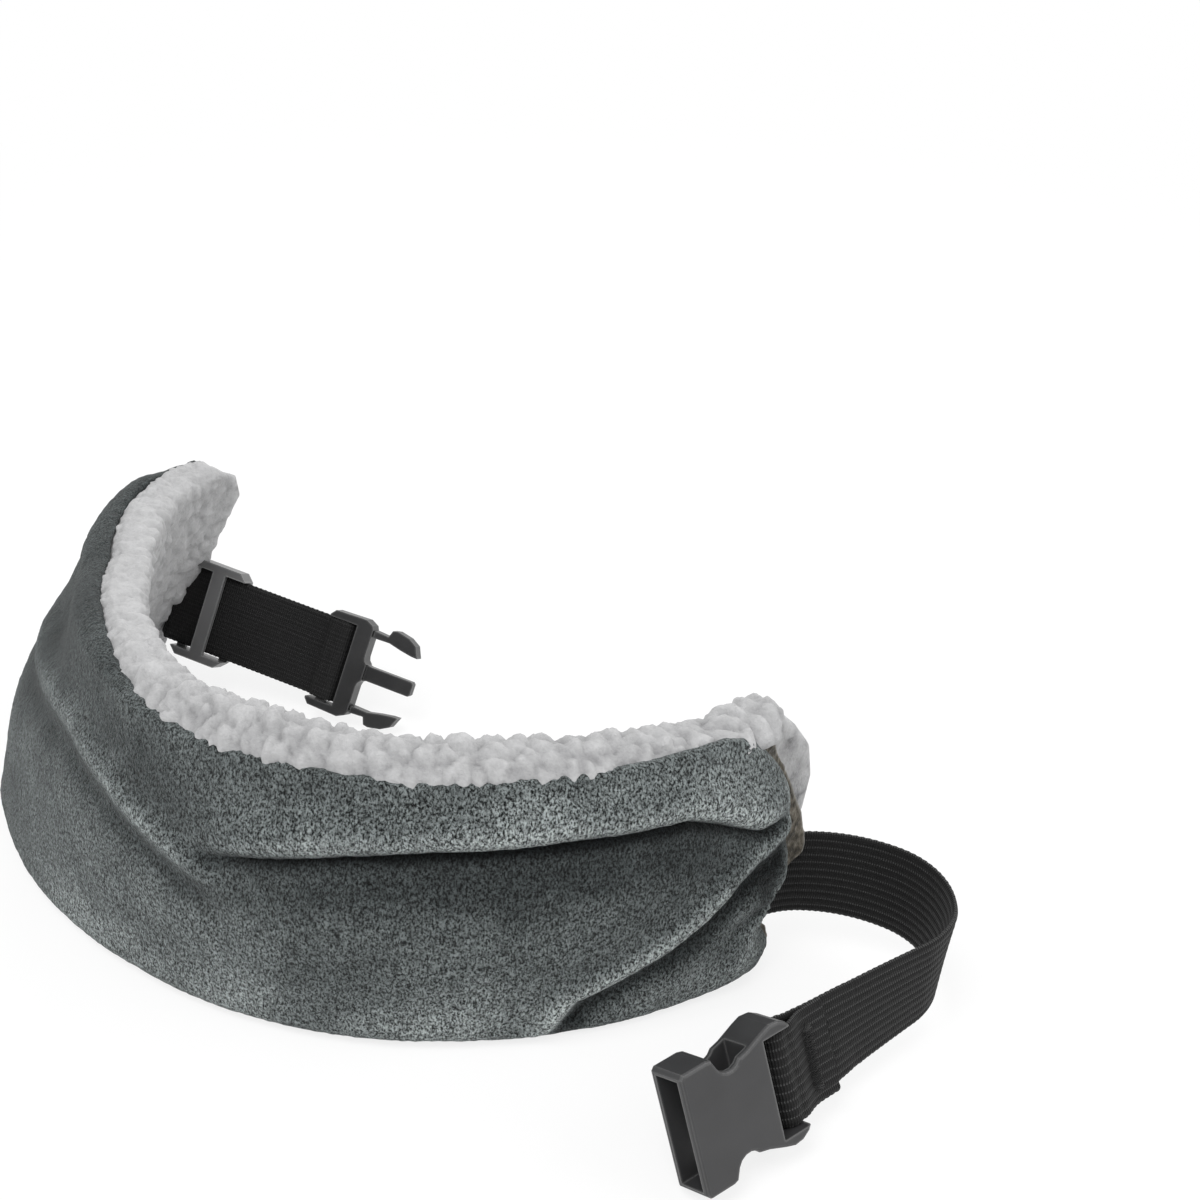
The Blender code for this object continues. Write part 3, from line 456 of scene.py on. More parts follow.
# How far the fleece stands past the right end and the left end, as (height, distance)
LOBE_REACH = ((0, 2), (12, 8), (24, 18), (34, 27), (44, 29), (54, 27), (62, 21), (70, 13), (80, 4), (90, -3))
LEFT_REACH = ((0, -3), (24, 2), (40, 6), (55, 9), (68, 13), (78, 9), (90, -1))


def make_sherpa():
    """The fleece: one thick skin from just below the top seam, over the roll and down the inner side."""
    spacing = 0.95
    half = PAD_THICKNESS / 2
    wall = 4.5
    roll = PAD_HEIGHT - ROLL_TUCK
    squeeze = (ROLL_RISE + ROLL_TUCK) / half

    def rolled(first, last, count=12):
        return [(half + half * math.cos(angle), roll + half * squeeze * math.sin(angle))
                for angle in np.radians(np.linspace(first, last, count))]

    low_start = [(2.2, 77.2), (1.0, 79.0), (0.6, 80.4)] + rolled(152, 80)
    high_start = [(7.0, 80.5), (6.6, 82.6), (6.8, 84.4), (8.6, 86.6), rolled(80, 79)[0]]
    line = rolled(80, 0)
    for height in np.linspace(roll, INNER_FOOT, 30)[1:]:
        line.append((PAD_THICKNESS, height))
    for angle in np.linspace(0, -90, 8)[1:]:
        line.append((PAD_THICKNESS - INNER_FOOT + INNER_FOOT * math.cos(math.radians(angle)),
                     INNER_FOOT + INNER_FOOT * math.sin(math.radians(angle))))
    line.append((SEAM_ACROSS + 0.5, 0.0))
    side = resample(line, spacing)
    low, high = (np.vstack([resample(start, 0.8, 20)[:-1], side]) for start in (low_start, high_start))
    along = np.linspace(0.0, PAD_LENGTH, int(PAD_LENGTH / spacing))
    crown = over_top(along)[:, None]
    across = low[None, :, 0] * (1 - crown) + high[None, :, 0] * crown
    height = low[None, :, 1] * (1 - crown) + high[None, :, 1] * crown
    across = across + 3.5 * crown * ease((across - 6.0) / 9.0) * ease((height - 4.0) / 30.0)
    height = height - 5.5 * ease((75.0 - along[:, None]) / 70.0) * ease((height - 60.0) / 20.0)
    along = np.broadcast_to(along[:, None], height.shape).copy()
    from_edge = np.arange(height.shape[1])[None, :] * spacing
    lobe = np.interp(height, *zip(*LOBE_REACH)) * ease((across - 0.5) / 5.5)
    left = np.interp(height, *zip(*LEFT_REACH)) * ease((across - 0.5) / 9.0)
    placed = along - lobe * ease(1.0 - along / 34.0) + left * ease((along - PAD_LENGTH + 34.0) / 34.0)
    middle = pad_point(placed, across, height)
    normals = grid_normals(middle)
    if (normals[200, 70] @ plan(np.array(PAD_HEADINGS[190] + 90))) > 0:
        normals = -normals
    middle = middle - normals * (wall / 2)

    rng = np.random.default_rng(21)
    loose = middle + np.stack([2.0 * noise(middle, 8.0, 22 + axis) + 0.7 * noise(middle, 3.0, 26 + axis)
                               for axis in range(3)], -1)
    flat = loose.reshape(-1, 3)
    curls = []
    for size in (7.2, 3.4):
        rows = np.arange(0, along.shape[0] - 1, size / spacing)
        columns = np.arange(0, along.shape[1] - 1, size / spacing)
        spots = np.stack(np.meshgrid(rows, columns, indexing="ij"), -1).reshape(-1, 2)
        spots = spots + rng.uniform(-0.42, 0.42, spots.shape) * size / spacing
        spots = np.clip(np.round(spots), 0, np.array(along.shape) - 1).astype(int)
        seeds = middle[spots[:, 0], spots[:, 1]]
        first, second, which = nearest_cells(flat.astype(np.float32), seeds.astype(np.float32))
        lift = rng.uniform(0.65, 1.15, len(seeds))[which]
        dome = np.sqrt(np.clip(1.0 - (first / (size * 0.78)) ** 2, 0.0, 1.0)) * lift
        seam = ease((second - first) / (size * 0.34))
        curls.append((dome * (0.45 + 0.55 * seam)).reshape(along.shape))
    soft = 0.50 + 0.50 * ease((240 - along) / 110)
    worm = np.abs(noise(middle, 4.2, 34)) + 0.5 * np.abs(noise(middle, 2.2, 35))
    pile = (2.7 * curls[0] + 1.0 * curls[1]) * soft - 2.3
    pile = pile + 0.8 * noise(middle, 22.0, 31) + 0.30 * noise(middle, 1.9, 32) + 1.0 * np.minimum(worm, 0.7)
    thick = np.outer(rim(along.shape[0], spacing, wall * 0.75), rim(along.shape[1], spacing, 2.4))
    low = ease((height - 0.2) / 5.0)
    start = 0.25 + 0.75 * ease((from_edge - 1.0) / 6.0)
    front = thick * (wall / 2 + pile * (0.25 + 0.75 * low) * start)
    # painted shade between the curls, weaker towards the left end
    painted_hollow_shade = np.clip(1.15 - (curls[0] * 0.65 + curls[1] * 0.30) - 0.45 * np.minimum(worm, 0.6), 0.0, 1.0)
    painted_hollow_shade = painted_hollow_shade * (0.5 + 0.5 * ease((240 - along) / 110))
    made = shell("sherpa_lining", middle, front, thick * wall / 2, normals, {"painted_hollow_shade": painted_hollow_shade})
    flatten_under(made)
    return made


def flatten_under(made):
    """Rests what reaches below the floor on it."""
    count = len(made.data.vertices)
    points = np.zeros(count * 3, np.float32)
    made.data.vertices.foreach_get("co", points)
    points = points.reshape(-1, 3)
    points[:, 2] = np.maximum(points[:, 2], 0.0)
    made.data.vertices.foreach_set("co", points.ravel())
    made.data.update()


# --- straps ------------------------------------------------------------------------------------


def smooth_line(points, spacing):
    """Evenly spaced points of a smooth curve through control points, and each one's place among them."""
    points = np.asarray(points, float)
    padded = np.vstack([2 * points[0] - points[1], points, 2 * points[-1] - points[-2]])
    fine, places = [], []
    for index in range(len(points) - 1):
        a, b, c, d = padded[index:index + 4]
        for share in np.linspace(0.0, 1.0, 12, endpoint=False):
            fine.append(0.5 * (2 * b + (c - a) * share + (2 * a - 5 * b + 4 * c - d) * share ** 2
                               + (3 * b - a - 3 * c + d) * share ** 3))
            places.append(index + share)
    fine.append(points[-1])
    places.append(len(points) - 1)
    fine, places = np.array(fine), np.array(places)
    runs = np.concatenate([[0.0], np.cumsum(np.linalg.norm(np.diff(fine, axis=0), axis=1))])
    marks = np.linspace(0.0, runs[-1], max(int(runs[-1] / spacing), 2) + 1)
    line = np.stack([np.interp(marks, runs, fine[:, axis]) for axis in range(3)], -1)
    return line, np.interp(marks, runs, places), marks


def ribbon(name, centres, widths, wall, ribs, rib_depth, saw=0.0):
    """A woven strap along centre points: a closed band with ribs along both faces and a worked edge."""
    line, places, marks = smooth_line(centres, 0.55)
    widths = np.stack([np.interp(places, np.arange(len(widths)), np.array(widths)[:, axis])
                       for axis in range(3)], -1)
    tangent = unit(np.gradient(line, axis=0))
    across = unit(widths - tangent * (widths * tangent).sum(-1, keepdims=True))
    face = np.cross(across, tangent)
    half = STRAP_WIDTH / 2
    samples = np.linspace(-1.0, 1.0, ribs * 8 + 1)
    waves = 0.5 - 0.5 * np.cos(math.pi * (samples + 1.0) * ribs)
    edge = np.sqrt(np.clip(1.0 - np.abs(samples) ** 24, 0.0, 1.0))
    depth = (wall / 2 - rib_depth + rib_depth * waves) * np.maximum(edge, 0.45)
    ring_across = np.concatenate([samples, samples[::-1]]) * half
    ring_face = np.concatenate([depth, -depth[::-1]])
    count = len(ring_across)
    teeth = 1.0 + saw * np.sin(2 * math.pi * marks / 1.65)[:, None] * (np.abs(ring_across) > half * 0.985)
    points = (line[:, None, :] + across[:, None, :] * (ring_across * teeth)[..., None]
              + face[:, None, :] * ring_face[None, :, None])
    rows = len(line)
    index = np.arange(rows * count).reshape(rows, count)
    after = np.roll(index, -1, axis=1)
    quads = np.stack([index[:-1], after[:-1], after[1:], index[1:]], -1).reshape(-1, 4)
    ends = [index[0][::-1].tolist(), index[-1].tolist()]
    made = mesh_piece(name, points.reshape(-1, 3), quads.tolist() + ends)
    lay = np.stack(np.broadcast_arrays(ring_across[None, :], marks[:, None], ring_face[None, :]), -1)
    add_values(made, "lay", lay.reshape(-1, 3).astype(float))
    made.data.set_sharp_from_angle(angle=math.radians(60))
    return made


def elastic_bend(distance):
    """How many degrees the elastic turns in a millimetre, at a distance from the pad."""
    reached = 0.0
    for length, turn in ELASTIC_BEND:
        reached += length
        if distance <= reached:
            return turn / length
    return 0.0


def elastic_path():
    """Centres and width directions of the elastic strap, from the end of the pad to the buckle's bar."""
    total = sum(length for length, _ in ELASTIC_BEND)
    start = end_point(0, 0.0, ELASTIC_ACROSS, ELASTIC_EXIT_HEIGHT)
    places, headings = walk((start[0], start[1]), PAD_HEADING + 180, total, elastic_bend, 2.0)
    share = np.linspace(0.0, 1.0, len(places))
    places[:, 2] = ELASTIC_EXIT_HEIGHT - ELASTIC_DROP * ease(share)
    lean = np.radians(spread(ELASTIC_LEAN, share))[:, None]
    return places, UP * np.cos(lean) + plan(headings - 90) * np.sin(lean)


def frame_of(origin, along, width):
    """A frame as columns: along, out of the face, across the width, and its origin."""
    x = unit(np.asarray(along, float))
    y = unit(np.cross(width, x))
    return np.stack([x, y, np.cross(x, y), np.asarray(origin, float)], -1)


def in_frame(held, x, y, z=0.0):
    return held @ np.array([x, y, z, 1.0])


def bar_loop(wall, layer, settle):
    """A strap's line round a bar: in below, round, and back above."""
    radius = BAR_RADIUS + BAR_CLEARANCE + wall / 2
    line = [(-settle, -layer), (-1.2 * radius, -0.8 * radius)]
    for angle in np.radians(np.linspace(-120, 120, 9)):
        line.append((radius * math.cos(angle), radius * math.sin(angle)))
    return line + [(-1.2 * radius, 0.8 * radius), (-settle, layer)]


def make_elastic(finish):
    """The elastic: its sewn root, and one run to the buckle, round its bar and back on itself."""
    centres, widths = elastic_path()
    along = unit(centres[1] - centres[0])
    exit_point = centres[0] + along * HINGE_OUT
    root = [end_point(0, -ELASTIC_ROOT, ELASTIC_ACROSS, ELASTIC_EXIT_HEIGHT), centres[0], exit_point]
    tab = ribbon("elastic_root", root, [UP] * 3, ELASTIC_WALL, ELASTIC_RIBS, ELASTIC_RIB_DEPTH)
    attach(tab, "pad_right")
    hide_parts("elastic_root_tab")

    spacing = np.linalg.norm(centres[1] - centres[0])
    lengths = [length for length, _ in ELASTIC_BEND]
    fold = int(round((lengths[0] + lengths[1] + lengths[2] / 2) / spacing))
    bar = frame_of(centres[-1], centres[-1] - centres[-3], widths[-1])
    layer = (ELASTIC_WALL + LAYER_GAP) / 2
    last = len(centres) - 1 - int(FOLD_START / spacing)
    line, line_widths = [exit_point], [widths[0]]
    for index in range(int(HINGE_OUT / spacing) + 2, last):
        move = ease((index - fold) / (last - fold)) if index > fold else 0.0
        line.append(centres[index] - bar[:, 1] * layer * move)
        line_widths.append(widths[index])
    for x, y in bar_loop(ELASTIC_WALL, layer, 9.0) + [(-FOLD_BACK, layer)]:
        line.append(in_frame(bar, x, y))
        line_widths.append(bar[:, 2])
    strap = ribbon("elastic_ribbon", line, line_widths, ELASTIC_WALL, ELASTIC_RIBS, ELASTIC_RIB_DEPTH,
                   saw=0.009)
    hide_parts("elastic_strap", "elastic_fold_back")
    strap.data.materials.append(finish)
    tab.data.materials.append(finish)
    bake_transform(strap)
    return centres


def make_trim(finish):
    """The strip of brown plush that closes the right end over the root of the elastic."""
    rows, columns = 110, 46
    height = 39.5 + np.linspace(-34.5, 34.5, rows)[:, None] + np.zeros((1, columns))
    share = np.linspace(0.0, 1.0, columns)[None, :] + np.zeros((rows, 1))
    reach = np.interp(height, *zip(*END_REACH)) + 6.0
    reach = reach + 6.2 * bump(height - 38.0, np.where(height < 38.0, 12.0, 21.0))
    outer, inner = np.minimum(share / 0.55, 1.0), np.clip((share - 0.55) / 0.45, 0.0, 1.0)
    out = reach - 9.0 * (1.0 - np.sin(outer * math.pi / 2)) - 6.0 * inner ** 2
    bend = 0.5 * math.radians(ELASTIC_BEND[0][1]) / ELASTIC_BEND[0][0]
    across = ELASTIC_ACROSS - ELASTIC_WALL - bend * np.clip(out, 0.0, None) ** 2
    across = across + (13.4 - across) * np.sin(inner * math.pi / 2)
    middle = pad_point(-out, across, height)
    normals = grid_normals(middle)
    facing = plan(np.array(PAD_HEADING + 90.0))
    if (normals[rows // 2, 4] @ facing) < 0:
        normals = -normals
    middle = middle + normals * (0.5 * noise(middle, 6.0, 41) + 0.22 * noise(middle, 1.6, 42))[..., None]
    thick = np.outer(rim(rows, 0.7, 2.0), rim(columns, 0.5, 1.2))
    made = shell("end_trim", middle, thick * 0.6, thick * 0.5, normals,
                 {"lay": np.stack(np.broadcast_arrays(out, height, across), -1).astype(float)})
    made.data.materials.append(finish)
    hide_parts("end_binding")
    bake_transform(made)


def make_webbing(finish):
    """The webbing: its sewn root, and the doubled run through the slider and round the plug's bar."""
    turn = PAD_HEADINGS[-1] - WEBBING_HEADING
    places = [(-WEBBING_ROOT_DEPTH - WEBBING_ROOT, WEBBING_ACROSS)]
    for angle in np.radians(np.linspace(0.0, turn, 5)):
        places.append((-WEBBING_ROOT_DEPTH + WEBBING_ROOT_RADIUS * math.sin(angle),
                       WEBBING_ACROSS + WEBBING_ROOT_RADIUS * (1 - math.cos(angle))))
    root = [end_point(1, out, across, WEBBING_EXIT_HEIGHT) for out, across in places]
    slope, lean = math.radians(WEBBING_SLOPE), math.radians(WEBBING_LEAN)
    reach = plan(np.array(WEBBING_HEADING)) * math.cos(slope) - UP * math.sin(slope)
    width = UP * math.cos(lean) + plan(np.array(WEBBING_HEADING + 90.0)) * math.sin(lean)
    strap = frame_of(root[-1] + reach * WEBBING_CLEAR, reach, width)
    width = strap[:, 2]
    sewn = unit(end_point(1, 0.0, 0.0, PAD_HEIGHT) - end_point(1, 0.0, 0.0, 0.0))
    widths = [sewn] * len(root)
    for out, twist in ((WEBBING_CLEAR * 0.6, 0.15), (0.0, 1.0)):
        root.append(in_frame(strap, -out, 0.0))
        widths.append(sewn * (1 - twist) + width * twist)
    tab = ribbon("webbing_root", root, widths, WEBBING_WALL, WEBBING_RIBS, WEBBING_RIB_DEPTH)
    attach(tab, "pad_left")
    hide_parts("webbing_root_tab")

    layer = (WEBBING_WALL + LAYER_GAP) / 2
    line = [(-WEBBING_REACH, 0.0), (3.0 - WEBBING_REACH, -layer)] + bar_loop(WEBBING_WALL, layer, 8.0)
    line.append((-WEBBING_TAIL, layer))
    centres = [in_frame(strap, x + WEBBING_REACH, y) for x, y in line]
    run = ribbon("webbing_run", centres, [width] * len(centres), WEBBING_WALL, WEBBING_RIBS,
                 WEBBING_RIB_DEPTH, saw=0.008)
    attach(run, "short_strap")
    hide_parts("webbing_strap")
    for made in (tab, run):
        made.data.materials.append(finish)


# --- materials ---------------------------------------------------------------------------------


class Finish:
    """A Principled material with its nodes added one call at a time."""

    def __init__(self, name, roughness, **sockets):
        self.made = bpy.data.materials.new(name)
        self.made.use_nodes = True
        self.nodes = self.made.node_tree.nodes
        self.links = self.made.node_tree.links
        self.shader = self.nodes["Principled BSDF"]
        self.shader.inputs["Roughness"].default_value = roughness
        for socket, value in sockets.items():
            self.shader.inputs[socket.replace("_", " ")].default_value = value

    def link(self, source, target):
        self.links.new(source, target)

    def place(self, attribute=None, scale=(1.0, 1.0, 1.0)):
        """Where a texture looks: the object's own metres, or a named value of the mesh."""
        mapping = self.nodes.new("ShaderNodeMapping")
        mapping.inputs["Scale"].default_value = scale
        if attribute is None:
            source = self.nodes.new("ShaderNodeTexCoord").outputs["Object"]
        else:
            held = self.nodes.new("ShaderNodeAttribute")
            held.attribute_name = attribute
            source = held.outputs["Vector"]
        self.link(source, mapping.inputs["Vector"])
        return mapping.outputs["Vector"]

    def value(self, attribute):
        held = self.nodes.new("ShaderNodeAttribute")
        held.attribute_name = attribute
        return held.outputs["Fac"]

    def noise(self, place, scale, detail=2.0, rough=0.5):
        texture = self.nodes.new("ShaderNodeTexNoise")
        texture.inputs["Scale"].default_value = scale
        texture.inputs["Detail"].default_value = detail
        texture.inputs["Roughness"].default_value = rough
        self.link(place, texture.inputs["Vector"])
        return texture.outputs["Fac"]

    def wave(self, place, scale, axis, distortion=0.0):
        texture = self.nodes.new("ShaderNodeTexWave")
        texture.wave_type = "BANDS"
        texture.bands_direction = axis
        texture.inputs["Scale"].default_value = scale
        texture.inputs["Distortion"].default_value = distortion
        self.link(place, texture.inputs["Vector"])
        return texture.outputs["Fac"]

    def math(self, operation, a, b):
        node = self.nodes.new("ShaderNodeMath")
        node.operation = operation
        for socket, value in zip(node.inputs, (a, b)):
            if isinstance(value, (int, float)):
                socket.default_value = value
            else:
                self.link(value, socket)
        return node.outputs["Value"]

    def ramp(self, value, *stops):
        node = self.nodes.new("ShaderNodeValToRGB")
        elements = node.color_ramp.elements
        while len(elements) < len(stops):
            elements.new(0.5)
        for element, (position, colour) in zip(elements, stops):
            element.position = position
            element.color = (*colour, 1.0) if not isinstance(colour, float) else (colour,) * 3 + (1.0,)
        self.link(value, node.inputs["Fac"])
        return node.outputs["Color"]

    def mix(self, kind, share, a, b):
        node = self.nodes.new("ShaderNodeMix")
        node.data_type = "RGBA"
        node.blend_type = kind
        node.inputs["Factor"].default_value = share
        self.link(a, node.inputs["A"])
        self.link(b, node.inputs["B"])
        return node.outputs["Result"]

    def colour(self, source):
        self.link(source, self.shader.inputs["Base Color"])

    def roughness(self, source):
        self.link(source, self.shader.inputs["Roughness"])

    def bumps(self, height, strength, distance):
        node = self.nodes.new("ShaderNodeBump")
        node.inputs["Strength"].default_value = strength
        node.inputs["Distance"].default_value = distance
        self.link(height, node.inputs["Height"])
        self.link(node.outputs["Normal"], self.shader.inputs["Normal"])


def velvet_finish():
    """Crystal plush: short fibres, lighter on the fold ridges as painted highlight and darker in the creases
    as painted shade.
    """
    made = Finish("crystal_plush", 0.9, Sheen_Weight=0.17, Sheen_Roughness=0.45,
                  Sheen_Tint=(0.86, 0.90, 0.90, 1.0), Specular_IOR_Level=0.12)
    place = made.place()
    streaks = made.noise(made.place(scale=(1.0, 1.0, 0.6)), 1900.0, 3.0, 0.7)
    tufts = made.noise(place, 620.0, 2.0)
    # the painted highlight and painted shade of the folds, with random mottle, sets how light the plush is
    lean = made.math("ADD", made.math("MULTIPLY", made.value("painted_light_and_mottle"), 0.5), 0.43)
    drift = made.math("ADD", lean, made.math("MULTIPLY", made.noise(place, 48.0, 4.0, 0.62), 0.34))
    # from the dark of painted shade to the near-white of painted highlight
    base = made.ramp(made.math("SUBTRACT", drift, 0.14),
                     (0.0, (0.020, 0.024, 0.025)), (0.28, (0.085, 0.098, 0.099)),
                     (0.52, (0.250, 0.280, 0.279)), (0.78, (0.62, 0.68, 0.67)), (1.0, (0.90, 0.96, 0.94)))
    fine = made.ramp(streaks, (0.37, 0.0), (0.46, 0.24), (0.54, 0.74), (0.62, 1.0))
    worn = made.ramp(tufts, (0.34, 0.58), (0.60, 1.0))
    made.colour(made.mix("MULTIPLY", 1.0, made.mix("MULTIPLY", 1.0, base, fine), worn))
    made.roughness(made.ramp(tufts, (0.2, 0.8), (0.8, 0.98)))
    made.bumps(made.math("ADD", streaks, made.math("MULTIPLY", tufts, 0.7)), 0.8, 0.0008)
    return made.made


def sherpa_finish():
    """Curly fleece: pale tufts, and painted shade between the curls."""
    made = Finish("curly_fleece", 0.95, Sheen_Weight=0.25, Sheen_Roughness=0.6, Specular_IOR_Level=0.1)
    place = made.place()
    fibres = made.noise(place, 900.0, 3.0, 0.65)
    tufts = made.noise(place, 260.0, 3.0)
    # painted shade: darker the deeper between the curls
    base = made.ramp(made.value("painted_hollow_shade"), (0.0, (0.50, 0.50, 0.505)), (0.35, (0.45, 0.45, 0.455)),
                     (0.70, (0.34, 0.34, 0.345)), (1.0, (0.16, 0.16, 0.165)))
    shade = made.ramp(tufts, (0.25, 0.80), (0.7, 1.0))
    fine = made.ramp(fibres, (0.3, 0.86), (0.65, 1.0))
    made.colour(made.mix("MULTIPLY", 1.0, made.mix("MULTIPLY", 1.0, base, shade), fine))
    made.roughness(made.ramp(tufts, (0.2, 0.88), (0.8, 1.0)))
    made.bumps(made.math("ADD", fibres, made.math("MULTIPLY", tufts, 1.2)), 0.6, 0.0009)
    return made.made


def trim_finish():
    """Brown plush, streaked along its length."""
    made = Finish("brown_plush", 0.95, Sheen_Weight=0.3, Sheen_Roughness=0.5, Specular_IOR_Level=0.1)
    streaks = made.noise(made.place("lay", (0.9, 0.35, 0.9)), 1.1, 3.0, 0.65)
    tufts = made.noise(made.place(), 300.0, 2.0)
    base = made.ramp(streaks, (0.25, (0.018, 0.016, 0.013)), (0.5, (0.13, 0.115, 0.09)),
                     (0.75, (0.33, 0.30, 0.25)))
    made.colour(made.mix("MULTIPLY", 1.0, base, made.ramp(tufts, (0.3, 0.6), (0.7, 1.0))))
    made.roughness(made.ramp(tufts, (0.2, 0.85), (0.8, 1.0)))
    made.bumps(streaks, 0.8, 0.0008)
    return made.made


def strap_finish(name, dark, lit, ribs, knit):
    """A woven strap: dotted lines between its ribs, and fine yarns across."""
    made = Finish(name, 0.7, Specular_IOR_Level=0.25, Sheen_Weight=0.05, Sheen_Roughness=0.4)
    lay = made.place("lay")
    period = STRAP_WIDTH / ribs
    lines = made.wave(made.place("lay", (math.pi / 10.0 / period, 1.0, 1.0)), 1.0, "X")
    yarns = made.wave(lay, 0.50 / knit, "Y", 0.6)
    ends = made.wave(lay, 0.60 / knit, "X", 0.4)
    weave = made.math("MULTIPLY", yarns, made.math("ADD", made.math("MULTIPLY", ends, 0.5), 0.5))
    dots = made.math("MULTIPLY", made.math("POWER", lines, 5.0), made.math("ADD", weave, 0.35))
    dust = made.noise(made.place(), 420.0, 3.0, 0.6)
    shown = made.math("ADD", made.math("MULTIPLY", weave, 0.30), made.math("MULTIPLY", dots, 0.75))
    base = made.ramp(shown, (0.0, dark), (0.35, tuple(value * 2.2 for value in dark)), (1.0, lit))
    made.colour(made.mix("MULTIPLY", 1.0, base, made.ramp(dust, (0.25, 0.6), (0.7, 1.0))))
    made.roughness(made.ramp(dust, (0.25, 0.62), (0.75, 0.85)))
    made.bumps(weave, 0.6, 0.0003)
    return made.made


def plastic_finish(name, colour, edge, roughness):
    """Satin moulded plastic: a fine grain, and rounded edges a little lighter as a painted highlight."""
    made = Finish(name, roughness, Specular_IOR_Level=0.45)
    place = made.place()
    grain = made.noise(place, 1600.0, 2.0)
    smear = made.noise(place, 90.0, 3.0)
    sharp = made.nodes.new("ShaderNodeBevel")
    sharp.samples = 6
    sharp.inputs["Radius"].default_value = 0.0011
    geometry = made.nodes.new("ShaderNodeNewGeometry")
    dot = made.nodes.new("ShaderNodeVectorMath")
    dot.operation = "DOT_PRODUCT"
    made.link(sharp.outputs["Normal"], dot.inputs[0])
    made.link(geometry.outputs["Normal"], dot.inputs[1])
    # painted highlight on rounded edges: where the bevelled normal leaves the face's own, the edge colour
    # takes over
    painted_edge_highlight = made.ramp(dot.outputs["Value"], (0.80, 1.0), (0.985, 0.0))
    node = made.nodes.new("ShaderNodeMix")
    node.data_type = "RGBA"
    made.link(painted_edge_highlight, node.inputs["Factor"])
    lighter = tuple(value * 1.25 for value in colour)
    made.link(made.ramp(smear, (0.3, colour), (0.7, lighter)), node.inputs["A"])
    node.inputs["B"].default_value = (*edge, 1.0)
    made.colour(node.outputs["Result"])
    made.roughness(made.ramp(smear, (0.25, roughness - 0.06), (0.75, roughness + 0.08)))
    made.bumps(grain, 0.18, 0.0001)
    return made.made


def thread_finish():
    """Twisted black sewing thread."""
    made = Finish("sewing_thread", 0.6, Specular_IOR_Level=0.35)
    twist = made.wave(made.place(), 900.0, "DIAGONAL", 1.0)
    made.colour(made.ramp(twist, (0.0, (0.010, 0.010, 0.010)), (1.0, (0.05, 0.05, 0.05))))
    made.roughness(made.ramp(twist, (0.0, 0.7), (1.0, 0.5)))
    made.bumps(twist, 0.4, 0.0001)
    return made.made


# --- the studio --------------------------------------------------------------------------------


def pale(tree, lit, far=0.0):
    """How much plain white the camera, and what is glossy or clear, sees: near, and all of it from far."""
    nodes, links = tree.nodes, tree.links
    path = nodes.new("ShaderNodeLightPath")
    seen = nodes.new("ShaderNodeMath")
    seen.operation = "MAXIMUM"
    links.new(path.outputs["Is Camera Ray"], seen.inputs[0])
    either = nodes.new("ShaderNodeMath")
    either.operation = "MAXIMUM"
    links.new(path.outputs["Is Glossy Ray"], either.inputs[0])
    links.new(path.outputs["Is Transmission Ray"], either.inputs[1])
    links.new(either.outputs[0], seen.inputs[1])
    scaled = nodes.new("ShaderNodeMath")
    scaled.operation = "MULTIPLY"
    scaled.inputs[1].default_value = lit
    links.new(seen.outputs[0], scaled.inputs[0])
    if not far:
        return scaled.outputs[0]
    place = nodes.new("ShaderNodeNewGeometry")
    away = nodes.new("ShaderNodeVectorMath")
    away.operation = "LENGTH"
    links.new(place.outputs["Position"], away.inputs[0])
    fading = nodes.new("ShaderNodeMapRange")
    for socket, value in (("From Min", 0.35 * far), ("From Max", far), ("To Min", lit), ("To Max", 1.0)):
        fading.inputs[socket].default_value = value
    links.new(away.outputs["Value"], fading.inputs["Value"])
    links.new(fading.outputs[0], scaled.inputs[1])
    return scaled.outputs[0]


def area_light(name, place, size, power, target=(0.0, 0.0, 0.03)):
    """A round lamp that faces the object."""
    lamp = bpy.data.lights.new(name, "AREA")
    lamp.shape = "DISK"
    lamp.size = size
    lamp.energy = power
    made = bpy.data.objects.new(name, lamp)
    made.location = place
    bpy.context.scene.collection.objects.link(made)
    back = unit(np.array(place) - np.array(target))
    made.rotation_mode = "QUATERNION"
    made.rotation_quaternion = Vector(back).to_track_quat("Z", "Y")
    return made


